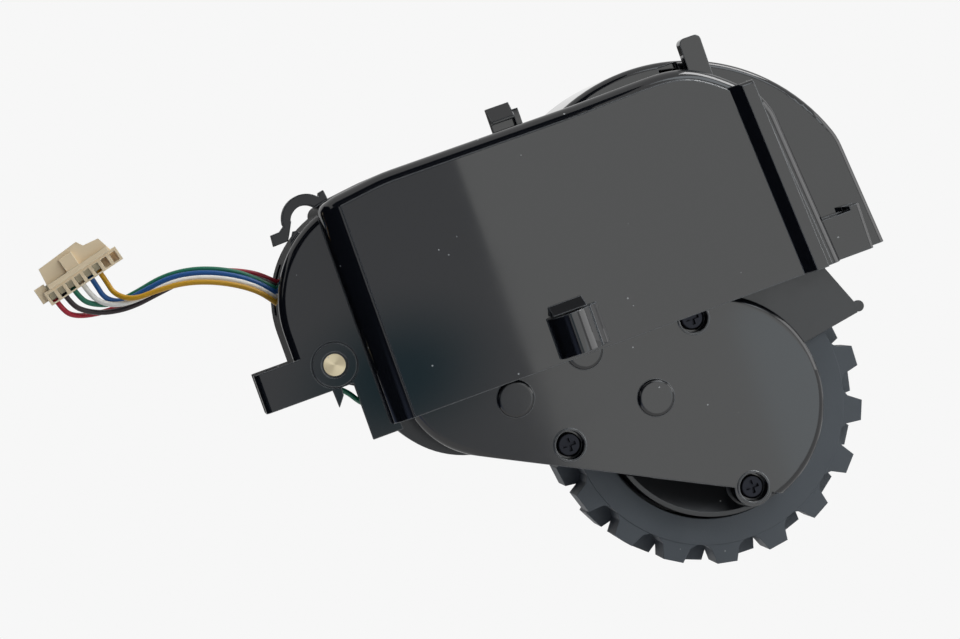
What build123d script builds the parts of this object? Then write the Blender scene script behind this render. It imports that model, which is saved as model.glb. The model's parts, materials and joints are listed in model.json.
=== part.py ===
from build123d import *
import os
from math import acos, asin, atan2, cos, degrees, pi, radians, sin, sqrt, tan

os.makedirs("parts", exist_ok=True)

# Drive wheel module of a robot vacuum: a moulded housing, and an arm that swings in it on a steel pin.
# The arm is the gearbox. It carries the motor at its left end and the tyred wheel at its right end.
# Everything is drawn from the pivot axis (X = 0), the front of the box (Y = 0) and the base plane (Z = 0),
# with X along the base, Y from the gear side to the wheel side and Z up. place() then moves the finished
# piece so that the origin lies at the fixing ear's screw hole, on the ear's underside.

# Housing
wall = 2.0
box_left = 6.8
box_height = 48.4
box_right_foot = 105.2
box_right_lean = 5.1
roof_corner_drop = 2.4
roof_brow_run = 4.0
roof_brow_drop = 1.3
roof_brow_radius = 14.0
roof_crest_run = 14.0
roof_crest_radius = 40.0
shoulder_x = 84.0
shoulder_drop = 12.4
shoulder_radius = 9.0
shoulder_end_radius = 7.0
box_edge_radius = 2.2
box_left_radius = 4.5
field_inset = 2.2
field_proud = 0.15
housing_depth = 33.0
arch_face = 8.0
arch_wall = 1.6
arch_center_x = 77.4
arch_center_z = 11.5
arch_radius = 40.0
arch_side_inset = 1.9
arch_foot_flare = 2.1
arch_shoulder_radius = 13.6
arch_edge_radius = 1.4

# Pivot end of the housing
pivot_face = 7.0
pivot_wall = 1.8
pivot_z = 15.0
pivot_end_left = -7.5
pivot_end_foot = 10.2
pivot_end_drop = 24.4
pivot_end_radius = 22.0
pivot_end_edge = 1.5
pivot_boss_radius = 4.5
pivot_boss_height = 0.3
boss_groove_width = 0.25
boss_groove_depth = 0.3
pin_mouth_gap = 0.45
pin_mouth_depth = 0.6
leg_left = 2.4
leg_drop = 2.0

# Fixing points
ear_left = -16.2
ear_height = 8.2
ear_depth = 10.0
ear_corner = 1.2
ear_hole_x = -12.2
screw_hole_radius = 1.7
side_boss_overlap = 1.2
side_boss_inset = 4.2
side_boss_height = 9.8
side_boss_proud = 5.2
side_boss_corner = 1.1
side_boss_post = 2.4
side_boss_step = 0.9
side_boss_hole_inset = 4.2

# Upright rib, clip, tab, snap hook and cable hook on the housing
rib_top_x = 96.4
rib_foot_x = 98.9
rib_over = 1.4
rib_width = 2.6
rib_proud = 2.2
rib_slope = 2.4
rib_end_radius = 0.8
clip_left = 43.0
clip_right = 53.6
clip_foot = 0.9
clip_top = 9.4
clip_proud = 5.6
clip_nose_radius = 4.2
clip_roof_gap = 0.3
clip_roof_height = 1.9
flute_radius = 0.4
tab_x = 90.8
tab_width = 4.6
tab_rise = 10.1
tab_face = 4.0
tab_depth = 3.0
tab_corner = 1.2
slot_x = 85.6
slot_width = 4.2
slot_height = 2.6
snap_x = 50.0
snap_width = 5.0
snap_height = 5.2
snap_face = 11.0
snap_stem = 1.6
snap_barb = 2.2
snap_barb_drop = 3.4
snap_ledge = 1.2
cable_hook_x = 5.6
cable_hook_drop = 3.6
cable_hook_radius = 5.1
cable_hook_wall = 1.8
cable_hook_face = 19.0
cable_hook_depth = 4.6
fin_face = 14.0
fin_depth = 1.6
outlet_height = 9.8
outlet_rise = 3.8
outlet_near = 15.4
outlet_far = 24.2

# Pivot
pin_radius = 2.25
running_gap = 0.05
fit_gap = 0.03
bush_radius = 3.0
barrel_radius = 3.8
barrel_gap = 0.4
bush_length = 6.0
pin_near_sink = 0.3
pin_far_reach = 1.6
clip_ring_radius = 4.0
clip_ring_thickness = 0.6
clip_ring_slot = 2.6
clip_ring_gap = 0.05
clip_groove_inset = 0.1
clip_groove_depth = 0.5

# Gear train: module, pressure angle and teeth, from the wheel back to the motor
gear_module = 0.7
pressure_angle = 25.0
addendum = 0.9
dedendum = 1.2
backlash = 0.16
output_teeth = 24
third_pinion_teeth = 13
third_gear_teeth = 39
second_pinion_teeth = 12
second_gear_teeth = 37
first_pinion_teeth = 12
first_gear_teeth = 28
motor_pinion_teeth = 12
gear_width = 1.9
gear_layer_gap = 0.3
last_stage_width = 3.6
gear_pin_radius = 1.25
gear_hub_radius = 2.4
gear_pin_near = 4.6

# Arm: gearbox casing, with the wheel axis found from the pivot
arm_length = 79.0
arm_drop = 26.1
third_axis_angle = 151.7
second_axis_angle = 127.5
first_axis_angle = 194.8
motor_axis_angle = 129.7
cover_face = 3.6
case_wall = 1.6
case_split = 9.3
thin_floor = 9.9
thin_floor_back = 11.25
case_floor = 14.4
floor_thickness = 1.8
wheel_clearance = 0.5
case_tip_radius = 23.1
case_heel_x = 29.0
case_heel_z = 4.4
case_heel_radius = 18.4
case_hump_radius = 15.6
case_edge_angle = -27.2
cover_edge_radius = 0.5
cover_tip_edge = 1.5
heel_flange_x = 25.6
heel_flange_z = 7.3
heel_flange_radius = 20.1
heel_web_inset = 8.0
heel_web_rise = 2.2
mark_radius = 3.85
mark_proud = 0.7
mark_edge = 0.65
dish_rim_y = 7.7
dish_edge_radius = 22.2
dish_ball_radius = 41.7
shield_face = 10.15
shield_thickness = 1.0
shield_corners = [(32.2, 20.5), (27.0, 32.0), (8.0, 21.0), (22.0, 5.0)]
nub_inset = 7.3
nub_rise = 8.6
nub_radius = 1.2
near_web_thickness = 2.6
near_web_radius = 6.0
far_web_near = 25.0
far_web_thickness = 2.2
far_web_radius = 9.0

# Cover screws
case_screws = [(72.7, -38.1), (39.5, -16.6), (72.4, -0.9), (29.0, 17.3)]
screw_recess_radius = 3.0
screw_lip_width = 0.4
screw_lip_height = 0.2
screw_boss_radius = 4.0
screw_seat_y = 6.2
screw_head_radius = 2.5
screw_head_height = 1.5
screw_shank_radius = 1.1
screw_seat_thickness = 1.3
screw_end_y = 10.7
screw_column_radius = 2.15

# Wheel
tyre_near = 11.6
tyre_width = 16.4
tyre_root_radius = 29.45
tyre_radius = 33.45
tyre_lip_radius = 23.95
tyre_seat_radius = 25.5
tyre_lip_thickness = 0.8
lugs_per_row = 18
lug_first_angle = 18.0
lug_tip_width = 4.3
lug_root_width = 6.0
lug_flare_width = 8.2
lug_flare_height = 0.8
lug_inset = 0.18
rim_inner_radius = 23.9
hub_web_near = 21.4
hub_web_thickness = 1.8
hub_boss_radius = 7.0
hub_rib_count = 6
hub_rib_width = 1.8
axle_radius = 3.0
axle_flat = 0.6
axle_near = 10.3
axle_far = 25.0
bearing_radius = 6.5
bearing_width = 2.8
bearing_gap = 0.3
bearing_boss_radius = 8.2
washer_radius = 5.0
washer_thickness = 0.8
hub_screw_radius = 1.5
hub_screw_head = 3.0
hub_screw_length = 6.0

# Motor
motor_radius = 11.5
motor_length = 11.0
motor_gap = 0.15
motor_cup_wall = 1.4
motor_cup_end = 27.8
motor_boss_radius = 3.0
motor_shaft_radius = 1.0
motor_pinion_length = 4.0
motor_screw_offset = 8.0
motor_screw_radius = 0.95
motor_screw_head = 1.8
motor_screw_head_height = 0.9
motor_screw_reach = 2.4
motor_screw_end_gap = 0.2
end_cap_thickness = 1.2
magnet_radius = 3.0
magnet_length = 1.6
board_gap = 0.7
board_thickness = 0.8
board_width = 18.0
board_height = 13.0
blade_offset = 5.0

# Suspension spring round the barrel
spring_wire_radius = 0.5
spring_mean_radius = 4.55
spring_turns = 4
spring_gap = 0.4
spring_pitch = 1.75

# Wire loom and connector
wire_radius = 0.55
wire_insert = 0.8
connector_x = -40.9
connector_y = 18.4
connector_z = 47.4
connector_tilt = 14.3
depth_share = 0.35
connector_ways = 8
connector_pitch = 2.1
connector_rib = 0.75
connector_base = 17.2
connector_base_height = 3.0
connector_ridge = 0.9
connector_plug = 13.4
connector_height = 7.6
connector_thickness = 4.8
connector_ridge_inset = 1.5
connector_ridge_proud = 0.7
connector_latch_left = -2.3
connector_latch_right = 0.6
connector_lug_reach = 1.3
connector_lug_low = 1.2
connector_lug_high = 4.6
crimp_length = 3.2

# Values worked out from the ones above
box_inner_back = housing_depth - wall
wheel_x = arm_length * cos(radians(arm_drop))
wheel_z = pivot_z - arm_length * sin(radians(arm_drop))
ear_hole_y = pivot_face + ear_depth / 2
shoulder_end_z = box_height - shoulder_drop
shoulder_end_x = box_right_foot - shoulder_end_z * tan(radians(box_right_lean))
arch_side_x = arch_center_x + arch_radius - arch_side_inset
arch_foot = arch_side_x + arch_foot_flare
side_boss_left = box_right_foot - side_boss_overlap
side_boss_right = arch_foot - side_boss_inset
pivot_end_arc_z = box_height - pivot_end_drop
casing_back = case_floor + floor_thickness


def place(shape):
    """Move a finished piece from the drawing origin to the ear's screw hole."""
    return Pos(-ear_hole_x, -ear_hole_y, -pivot_end_foot) * shape


def save(shape, node):
    """Write one sub-part as a STEP file."""
    export_step(place(shape), f"parts/{node}.step")


def slab(sketch, near, far):
    """Push a sketch of the X-Z plane from depth near to depth far."""
    return extrude(Plane.XZ.offset(-near) * sketch, amount=far - near, dir=(0, 1, 0))


def rod(x, z, radius, near, far):
    """Round bar parallel to the wheel axle."""
    return slab(Pos(x, z) * Circle(radius), near, far)


def tube(x, z, radius, bore, near, far):
    """Round bar with a hole along it."""
    return slab(Pos(x, z) * (Circle(radius) - Circle(bore)), near, far)


def block(low, high):
    """Square block between two opposite corners."""
    size = [b - a for a, b in zip(low, high)]
    middle = [(a + b) / 2 for a, b in zip(low, high)]
    return Pos(*middle) * Box(*size)


def rounded(sketch, corner, radius):
    """Round the corner of a sketch that lies nearest to a point."""
    nearest = sketch.vertices().sort_by_distance(Vector(*corner, 0))[0]
    return fillet(nearest, radius)


# Housing outlines. The base is drawn lower for the cutters, which leaves the housing open below.

def box_outline(base):
    brow = (box_left + roof_brow_run, box_height - roof_brow_drop)
    crest = (box_left + roof_crest_run, box_height)
    outline = make_face(Polyline(
        (box_left, base),
        (box_left, box_height - roof_corner_drop),
        brow,
        crest,
        (shoulder_x, box_height),
        (shoulder_end_x, shoulder_end_z),
        (box_right_foot - base * tan(radians(box_right_lean)), base),
        close=True,
    ))
    outline = rounded(outline, brow, roof_brow_radius)
    outline = rounded(outline, crest, roof_crest_radius)
    outline = rounded(outline, (shoulder_x, box_height), shoulder_radius)
    return rounded(outline, (shoulder_end_x, shoulder_end_z), shoulder_end_radius)


def roof_z(x):
    """Height of the roof, which falls away on the right."""
    share = max(0, (x - shoulder_x) / (shoulder_end_x - shoulder_x))
    return box_height - share * shoulder_drop


def arch_outline(base):
    reach = arch_side_x - arch_center_x
    straight_z = arch_center_z + sqrt(arch_radius ** 2 - reach ** 2)
    left_x = arch_center_x - arch_radius * cos(radians(30))
    left_z = arch_center_z + arch_radius * sin(radians(30))
    crown = (arch_center_x, arch_center_z + arch_radius)
    foot = (arch_foot - base * arch_foot_flare / straight_z, base)
    arc = ThreePointArc((arch_side_x, straight_z), crown, (left_x, left_z))
    sides = Polyline((left_x, left_z), (left_x, base), foot, (arch_side_x, straight_z))
    outline = make_face([arc, sides])
    return rounded(outline, (arch_side_x, straight_z), arch_shoulder_radius)


def pivot_end_outline(base):
    center_x = pivot_end_left + pivot_end_radius
    meet_x = box_left + wall
    meet_z = pivot_end_arc_z + sqrt(pivot_end_radius ** 2 - (center_x - meet_x) ** 2)
    middle = radians(145)
    arc = ThreePointArc(
        (pivot_end_left, pivot_end_arc_z),
        (center_x + pivot_end_radius * cos(middle), pivot_end_arc_z + pivot_end_radius * sin(middle)),
        (meet_x, meet_z),
    )
    right = meet_x + pivot_wall
    sides = Polyline(
        (meet_x, meet_z), (right, meet_z), (right, base), (pivot_end_left, base),
        (pivot_end_left, pivot_end_arc_z),
    )
    return make_face([arc, sides])


def box_form(inset, base, back):
    """The box as a solid block: its outer form, or with an inset the room inside it."""
    outline = box_outline(base)
    if inset > 0:
        outline = offset(outline, -inset, kind=Kind.INTERSECTION)
    form = slab(outline, inset, back)
    upright = form.edges().filter_by(Axis.Z).sort_by(lambda edge: edge.center().X + edge.center().Y)[0]
    form = fillet(upright, box_left_radius - inset)
    if inset > 0:
        return form
    round_end = box_left + box_left_radius + 0.1
    rim = [edge for edge in front_edges(form) if edge.center().X > round_end]
    return fillet(rim, box_edge_radius)


def make_field():
    """Large flat of the box's front, a trace proud of the rounded edge round it."""
    outline = offset(box_outline(-field_inset), -field_inset, kind=Kind.INTERSECTION)
    flat = slab(outline, -field_proud, wall / 2)
    flat = chamfer(front_edges(flat), 0.9 * field_proud)
    left = box_left + box_left_radius
    return flat & block((left, -wall, 0), (box_right_foot, wall, box_height))


def make_housing():
    """The whole moulded housing: box, wheel arch, pivot end and everything moulded on them."""
    arch = slab(arch_outline(0), arch_face, housing_depth)
    arch = fillet(front_edges(arch), arch_edge_radius)
    pivot_end = slab(pivot_end_outline(pivot_end_foot), pivot_face, housing_depth)
    outer = [edge for edge in front_edges(pivot_end) if edge.center().X < box_left]
    pivot_end = fillet(outer, pivot_end_edge)
    body = box_form(0, 0, housing_depth) + arch + pivot_end + make_ear() + make_side_boss() + make_leg()
    below = -3 * wall
    body -= box_form(wall, below, box_inner_back)
    body -= slab(offset(arch_outline(below), -arch_wall), arch_face + arch_wall, box_inner_back)
    body -= slab(
        offset(pivot_end_outline(below), -pivot_wall, kind=Kind.INTERSECTION),
        pivot_face + pivot_wall, box_inner_back,
    )
    body += make_field() + make_rib() + make_clip() + make_tab() + make_snap()
    body += make_cable_hook() + make_fin()
    boss_face = pivot_face - pivot_boss_height
    groove_radius = pivot_boss_radius + boss_groove_width
    body += rod(0, pivot_z, pivot_boss_radius, boss_face, pivot_face + pivot_wall)
    body -= tube(0, pivot_z, groove_radius, pivot_boss_radius, boss_face, pivot_face + boss_groove_depth)
    body -= rod(0, pivot_z, pin_radius + fit_gap, 0, housing_depth + wall)
    body -= rod(0, pivot_z, pin_radius + pin_mouth_gap, boss_face, boss_face + pin_mouth_depth)
    outlet_low = pivot_end_arc_z + outlet_rise
    body -= block(
        (pivot_end_left - wall, outlet_near, outlet_low),
        (pivot_end_left + 4 * pivot_wall, outlet_far, outlet_low + outlet_height),
    )
    slot_top = arch_center_z + arch_radius - arch_wall
    body -= block(
        (slot_x - slot_width / 2, arch_face - wall, slot_top - slot_height),
        (slot_x + slot_width / 2, arch_face + arch_wall, slot_top),
    )
    ear_hole = Pos(ear_hole_x, ear_hole_y, pivot_end_foot) * Cylinder(screw_hole_radius, 4 * ear_height)
    side_hole = Pos(side_boss_right - side_boss_hole_inset, arch_face - side_boss_proud / 2, 0) * Cylinder(
        screw_hole_radius, 2 * (side_boss_height - wall)
    )
    return body - ear_hole - side_hole


def front_edges(solid):
    """Edges round the face that looks at the gear side, without its bottom edge."""
    face = solid.faces().filter_by(Axis.Y).sort_by(Axis.Y)[0]
    bottom = face.bounding_box().min.Z
    return [edge for edge in face.edges() if edge.center().Z > bottom + 0.01]


def make_ear():
    ear = block(
        (ear_left, pivot_face, pivot_end_foot),
        (pivot_end_left + pivot_wall, pivot_face + ear_depth, pivot_end_foot + ear_height),
    )
    upright = ear.edges().filter_by(Axis.Z).sort_by(Axis.X)[:2]
    return fillet(upright, ear_corner)


def make_side_boss():
    """Screw boss beside the box: a square block with a taller rounded post at its right."""
    near = arch_face - side_boss_proud
    far = arch_face + arch_wall
    boss = block((side_boss_left, near, 0), (side_boss_right, far, side_boss_height - side_boss_step))
    boss += block((side_boss_right - side_boss_post, near, 0), (side_boss_right, far, side_boss_height))
    right_edge = boss.edges().filter_by(Axis.Z).sort_by(lambda edge: edge.center().X - edge.center().Y)[-1]
    return fillet(right_edge, side_boss_corner)


def make_leg():
    """Leg beside the box's left corner, and the small pointed stop under the pivot."""
    leg = block((leg_left, pivot_face, -leg_drop), (box_left + wall, pivot_face + pivot_wall, pivot_z))
    foot = pivot_end_foot
    point = make_face(Polyline(
        (-2.1, foot + 1), (-0.1, foot + 1), (-0.3, foot - 1.6), (-1.9, foot - 3.7), close=True
    ))
    return leg + slab(point, pivot_face, pivot_face + pivot_wall)


def make_rib():
    """Raised strip near the box's right side, with a long slope on its left."""
    def strip(x, z):
        return Plane(origin=(x, 0, z), z_dir=(0, 0, 1)) * make_face(Polyline(
            (-rib_slope, wall / 2), (-rib_slope, 0), (0, -rib_proud), (rib_width, -rib_proud),
            (rib_width, wall / 2), close=True,
        ))
    rib = loft([strip(rib_foot_x, 0), strip(rib_top_x, roof_z(rib_top_x) + rib_over)])
    end = rib.faces().sort_by(Axis.Z)[-1]
    front = end.edges().sort_by(Axis.Y)[0]
    return fillet(front, rib_end_radius)


def make_clip():
    """Rounded catch low on the box, with flutes down its right side and a sloping roof over it."""
    nose = Pos(clip_left + clip_nose_radius, -clip_proud + clip_nose_radius) * Circle(clip_nose_radius)
    root = Pos((clip_left + clip_right) / 2, 0) * Rectangle(clip_right - clip_left, wall)
    outline = make_hull(nose.edges() + root.edges())
    for step in range(2):
        outline -= Pos(clip_right - 2.3 + 1.2 * step, -2.7 + 1.35 * step) * Circle(flute_radius)
    outline &= Pos((clip_left + clip_right) / 2, wall / 2 - clip_proud) * Rectangle(
        2 * (clip_right - clip_left), 2 * clip_proud
    )
    catch = Pos(0, 0, clip_foot) * extrude(outline, amount=clip_top - clip_foot)
    roof_foot = clip_top + clip_roof_gap
    slope = make_face(Polyline(
        (-clip_proud + clip_nose_radius / 2, roof_foot), (wall / 2, roof_foot),
        (wall / 2, roof_foot + clip_roof_height), (-wall / 4, roof_foot + clip_roof_height), close=True,
    ))
    roof_left = clip_left + clip_roof_height / 2
    roof_right = clip_right - 1.3 * clip_roof_height
    roof = Pos(roof_left, 0, 0) * extrude(Plane.YZ * slope, amount=roof_right - roof_left)
    return catch + roof


def make_tab():
    """Tab that stands on the falling roof in front of the arch."""
    low = roof_z(tab_x) - wall
    tab = block(
        (tab_x - tab_width / 2, tab_face, low),
        (tab_x + tab_width / 2, tab_face + tab_depth, low + wall + tab_rise),
    )
    tab += block(
        (tab_x - tab_width / 4, tab_face + tab_depth / 2, low), (tab_x + tab_width / 4, arch_face, low + wall)
    )
    upper = tab.faces().sort_by(Axis.Z)[-1]
    return fillet(upper.edges().filter_by(Axis.Y), tab_corner)


def make_snap():
    """Springy hook on the roof: a thin stem with a barb that looks forward and a ledge on its right."""
    left = snap_x - snap_width / 2
    foot = box_height - wall / 2
    top = box_height + snap_height
    barb_low = top - snap_barb_drop
    profile = make_face(Polyline(
        (snap_face + snap_barb, foot), (snap_face + snap_barb, barb_low), (snap_face, barb_low),
        (snap_face, barb_low + 0.5), (snap_face + snap_barb, top), (snap_face + snap_barb + snap_stem, top),
        (snap_face + snap_barb + snap_stem, foot), close=True,
    ))
    hook = Pos(left, 0, 0) * extrude(Plane.YZ * profile, amount=snap_width)
    ledge = block(
        (left + snap_width - 0.1, snap_face + 0.6, foot),
        (left + snap_width + snap_ledge, snap_face + snap_barb + snap_stem, top - snap_height / 3),
    )
    return hook + ledge


def make_cable_hook():
    """Open ring at the roof's left corner that the wires can be clipped into, on a straight foot."""
    z = box_height - cable_hook_drop
    inner = cable_hook_radius - cable_hook_wall
    ring = Circle(cable_hook_radius) - Pos(-0.2, -0.5) * Circle(inner)
    gap = Polyline((0, 0), (-9, 0.6), (-9, -9), (9, -9), (9, 0.2), close=True)
    ring -= make_face(gap)
    foot = make_face(Polyline(
        (-5.08, 0.7), (-5.0, 0.0), (-6.1, -0.8), (-8.1, -0.9), (-8.3, -3.3), (-5.2, -3.2), (-4.4, -1.8),
        (-3.2, 0.5), close=True,
    ))
    nub = make_face(Polyline((3.8, 3.2), (4.2, 4.2), (5.2, 4.4), (5.5, 2.1), (4.2, 1.8), close=True))
    outline = Pos(cable_hook_x, z) * (ring + foot + nub)
    return slab(outline, cable_hook_face, cable_hook_face + cable_hook_depth)


def make_fin():
    """Small pointed fin on the round of the pivot end, beside the cable hook's foot."""
    z = box_height - cable_hook_drop
    outline = make_face(Polyline(
        (-6.5, -6.1), (-5.0, -3.3), (-4.0, -1.6), (-3.1, -1.7), (-2.0, -3.6), (-4.0, -7.0), close=True
    ))
    return slab(Pos(cable_hook_x, z) * outline, fin_face, fin_face + fin_depth)


# Gears

def gear_outline(teeth):
    """Spur gear outline with involute flanks, a tooth centred on the first axis."""
    pitch_radius = gear_module * teeth / 2
    base_radius = pitch_radius * cos(radians(pressure_angle))
    tip_radius = pitch_radius + addendum * gear_module
    root_radius = pitch_radius - dedendum * gear_module

    def involute(radius):
        if radius <= base_radius:
            return 0
        slope = acos(base_radius / radius)
        return tan(slope) - slope

    half_at_pitch = (pi * gear_module / 2 - backlash / 2) / (2 * pitch_radius)
    points = []
    for tooth in range(teeth):
        middle = 2 * pi * tooth / teeth
        flank = [
            (radius, half_at_pitch + involute(pitch_radius) - involute(radius))
            for radius in (root_radius, pitch_radius, tip_radius)
        ]
        for radius, half in flank:
            points.append((radius * cos(middle - half), radius * sin(middle - half)))
        for radius, half in reversed(flank):
            points.append((radius * cos(middle + half), radius * sin(middle + half)))
    return make_face(Polyline(*points, close=True))


def center_distance(teeth_a, teeth_b):
    return gear_module * (teeth_a + teeth_b) / 2


def step_from(point, distance, angle):
    """Point at a distance and an angle from another point."""
    return (point[0] + distance * cos(radians(angle)), point[1] + distance * sin(radians(angle)))


def phase_in_mesh(axis_a, teeth_a, phase_a, axis_b, teeth_b):
    """Angle in degrees that sets gear b's gap over gear a's tooth on the line between their axes."""
    line = degrees(atan2(axis_b[1] - axis_a[1], axis_b[0] - axis_a[0]))
    return line + 180 - (teeth_a / teeth_b) * (phase_a - line) - 180 / teeth_b


def layer(number):
    """Near and far depth of one of the three gear layers, counted from the cover."""
    near = cover_face + case_wall + gear_layer_gap + number * (gear_width + gear_layer_gap)
    if number == 2:
        return near + gear_layer_gap, near + gear_layer_gap + last_stage_width
    return near, near + gear_width


wheel_axis = (wheel_x, wheel_z)
third_axis = step_from(wheel_axis, center_distance(output_teeth, third_pinion_teeth), third_axis_angle)
second_axis = step_from(
    third_axis, center_distance(third_gear_teeth, second_pinion_teeth), second_axis_angle
)
first_axis = step_from(
    second_axis, center_distance(second_gear_teeth, first_pinion_teeth), first_axis_angle
)
motor_axis = step_from(
    first_axis, center_distance(first_gear_teeth, motor_pinion_teeth), motor_axis_angle
)

output_phase = 0.0
third_pinion_phase = phase_in_mesh(
    wheel_axis, output_teeth, output_phase, third_axis, third_pinion_teeth
)
second_pinion_phase = phase_in_mesh(third_axis, third_gear_teeth, 0.0, second_axis, second_pinion_teeth)
first_pinion_phase = phase_in_mesh(second_axis, second_gear_teeth, 0.0, first_axis, first_pinion_teeth)
motor_pinion_phase = phase_in_mesh(first_axis, first_gear_teeth, 0.0, motor_axis, motor_pinion_teeth)


def toothed(axis, teeth, phase, near, far):
    return slab(Pos(*axis) * Rot(0, 0, phase) * gear_outline(teeth), near, far)


def compound_gear(axis, gear_teeth, gear_layer, pinion_teeth, pinion_phase, pinion_layer):
    """Large gear and pinion in one piece, with a hub that runs on a fixed pin."""
    gear_near, gear_far = layer(gear_layer)
    pinion_near, pinion_far = layer(pinion_layer)
    hub = rod(*axis, gear_hub_radius, layer(0)[0], max(gear_far, pinion_far))
    piece = hub + toothed(axis, gear_teeth, 0.0, gear_near, gear_far)
    piece += toothed(axis, pinion_teeth, pinion_phase, min(pinion_near, gear_far), pinion_far)
    return piece - rod(*axis, gear_pin_radius + running_gap, 0, housing_depth)


# Gearbox casing

def hull_of(circles):
    """Outline of a belt drawn tight round some circles."""
    return make_hull([(Pos(x, z) * Circle(radius)).edges()[0] for x, z, radius in circles])


def above_case_edge(outline):
    """Cut an outline off along the casing's straight lower edge."""
    reach = 4 * case_tip_radius
    below = Pos(case_heel_x, case_heel_z) * Rot(0, 0, case_edge_angle) * (
        Pos(0, -case_heel_radius - reach / 2) * Rectangle(3 * reach, reach)
    )
    return outline - below


def case_outline():
    belt = hull_of([
        (case_heel_x, case_heel_z, case_heel_radius),
        (*second_axis, case_hump_radius),
        (*wheel_axis, case_tip_radius),
    ])
    tip_screw_x, tip_screw_z = case_screws[0]
    return above_case_edge(belt) + Pos(tip_screw_x, tip_screw_z) * Circle(screw_boss_radius)


case_shape = case_outline()
case_cavity = offset(case_shape, -case_wall)


def make_cover():
    """Front half of the gearbox: a shallow tray with screw cups and bosses for the gear pins."""
    cover = slab(case_shape, cover_face, case_split)
    face = cover.faces().filter_by(Axis.Y).sort_by(Axis.Y)[0]
    tip_arc = [edge for edge in face.edges() if edge.center().X > wheel_x + case_tip_radius / 2]
    cover = fillet(tip_arc, cover_tip_edge)
    cover -= slab(case_cavity, cover_face + case_wall, case_split)
    cup_end = screw_seat_y + screw_seat_thickness
    for x, z in case_screws:
        cover += rod(x, z, screw_boss_radius, cover_face + case_wall, cup_end)
        cover += rod(x, z, screw_recess_radius + screw_lip_width, cover_face - screw_lip_height, cup_end)
    for x, z in case_screws:
        cover -= rod(x, z, screw_recess_radius, 0, screw_seat_y)
        cover -= rod(x, z, screw_shank_radius + 2 * running_gap, 0, case_split)
    for axis in (first_axis, second_axis, third_axis):
        mark = rod(*axis, mark_radius, cover_face - mark_proud, cover_face + case_wall)
        cover += fillet(mark.edges().sort_by(Axis.Y)[0], mark_edge)
        cover -= rod(*axis, gear_pin_radius + fit_gap, gear_pin_near, case_split)
    return cover


def make_rear_shell():
    """Rear half of the gearbox, one moulding with the pivot barrel, motor cup and shield plate.

    It is shallow where the tyre passes behind it and deep inside the tyre and round the motor.
    """
    wheel_disc = Pos(*wheel_axis) * Circle(case_tip_radius)
    wheel_room = Pos(*wheel_axis) * Circle(tyre_radius + wheel_clearance)
    flange = Pos(heel_flange_x, heel_flange_z) * Circle(heel_flange_radius)
    shell = slab(case_shape + flange + wheel_disc, case_split, thin_floor_back)
    shell += slab(wheel_disc, case_split, casing_back)
    shell += slab(case_shape + flange - wheel_room, case_split, casing_back)
    shell += make_dish() + make_motor_cup() + make_barrel_arms()
    shell -= slab(case_cavity, 0, thin_floor)
    shell -= slab(offset(case_shape & wheel_disc, -case_wall), 0, case_floor)
    shell -= slab(offset(case_shape - wheel_room, -case_wall), 0, case_floor)
    column_near = screw_seat_y + screw_seat_thickness + 0.05
    for x, z in case_screws:
        shell += rod(x, z, screw_column_radius, column_near, floor_back_at((x, z)))
        shell -= rod(x, z, screw_shank_radius + fit_gap, 0, screw_end_y + 0.2)
    for axis, boss_near, back in gear_pin_places():
        shell += rod(*axis, 2 * gear_pin_radius, boss_near, back)
        shell -= rod(*axis, gear_pin_radius + fit_gap, 0, back - 0.4)
    boss_back = case_floor + 0.2 + 2 * bearing_width + bearing_gap
    shell += rod(*wheel_axis, bearing_boss_radius, case_floor, boss_back)
    shell -= rod(*wheel_axis, bearing_radius + fit_gap, case_floor + 0.2, boss_back)
    shell -= rod(*wheel_axis, bearing_radius - 1.2, 0, boss_back)
    shell -= rod(0, pivot_z, bush_radius + fit_gap, 0, housing_depth)
    return shell + make_shield() - motor_holes() - dish_cutter()


def floor_back_at(point):
    """Depth of the casing's back: shallow only where the tyre passes."""
    reach = (Vector(*point) - Vector(*wheel_axis)).length
    if case_tip_radius < reach < tyre_radius + wheel_clearance:
        return thin_floor_back
    return casing_back


def gear_pin_places():
    """Axis of each gear pin, with the near and far end of the boss behind it."""
    behind_pinion = layer(1)[1] + gear_layer_gap
    places = [(axis, behind_pinion, floor_back_at(axis)) for axis in (first_axis, second_axis)]
    return places + [(third_axis, layer(2)[1] + gear_layer_gap, floor_back_at(third_axis))]


def make_dish():
    """Rim of the round end, where the cover leaves it bare."""
    bare = Pos(*wheel_axis) * Circle(case_tip_radius) - offset(case_shape, screw_lip_width)
    return slab(bare, dish_rim_y, case_split)


def dish_cutter():
    """Shallow bowl pressed into the bare part of the round end."""
    depth = sqrt(dish_ball_radius ** 2 - dish_edge_radius ** 2)
    ball = Pos(wheel_x, dish_rim_y - depth, wheel_z) * Sphere(dish_ball_radius)
    bare = Pos(*wheel_axis) * Circle(dish_edge_radius) - offset(case_shape, screw_lip_width)
    return ball & slab(bare, 0, case_floor)


def make_motor_cup():
    """Sleeve round the motor on the back of the gearbox floor."""
    bore = motor_radius + motor_gap
    return tube(*motor_axis, bore + motor_cup_wall, bore, casing_back, motor_cup_end)


def motor_screw_axes():
    line = motor_axis_angle - 90
    return [step_from(motor_axis, motor_screw_offset, line), step_from(motor_axis, -motor_screw_offset, line)]


def motor_holes():
    """Holes in the gearbox floor for the motor's nose and its two screws."""
    holes = rod(*motor_axis, motor_boss_radius + fit_gap, case_floor - 1, casing_back)
    for axis in motor_screw_axes():
        holes += rod(*axis, motor_screw_radius + 2 * running_gap, case_floor - 1, casing_back)
    return holes


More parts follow.
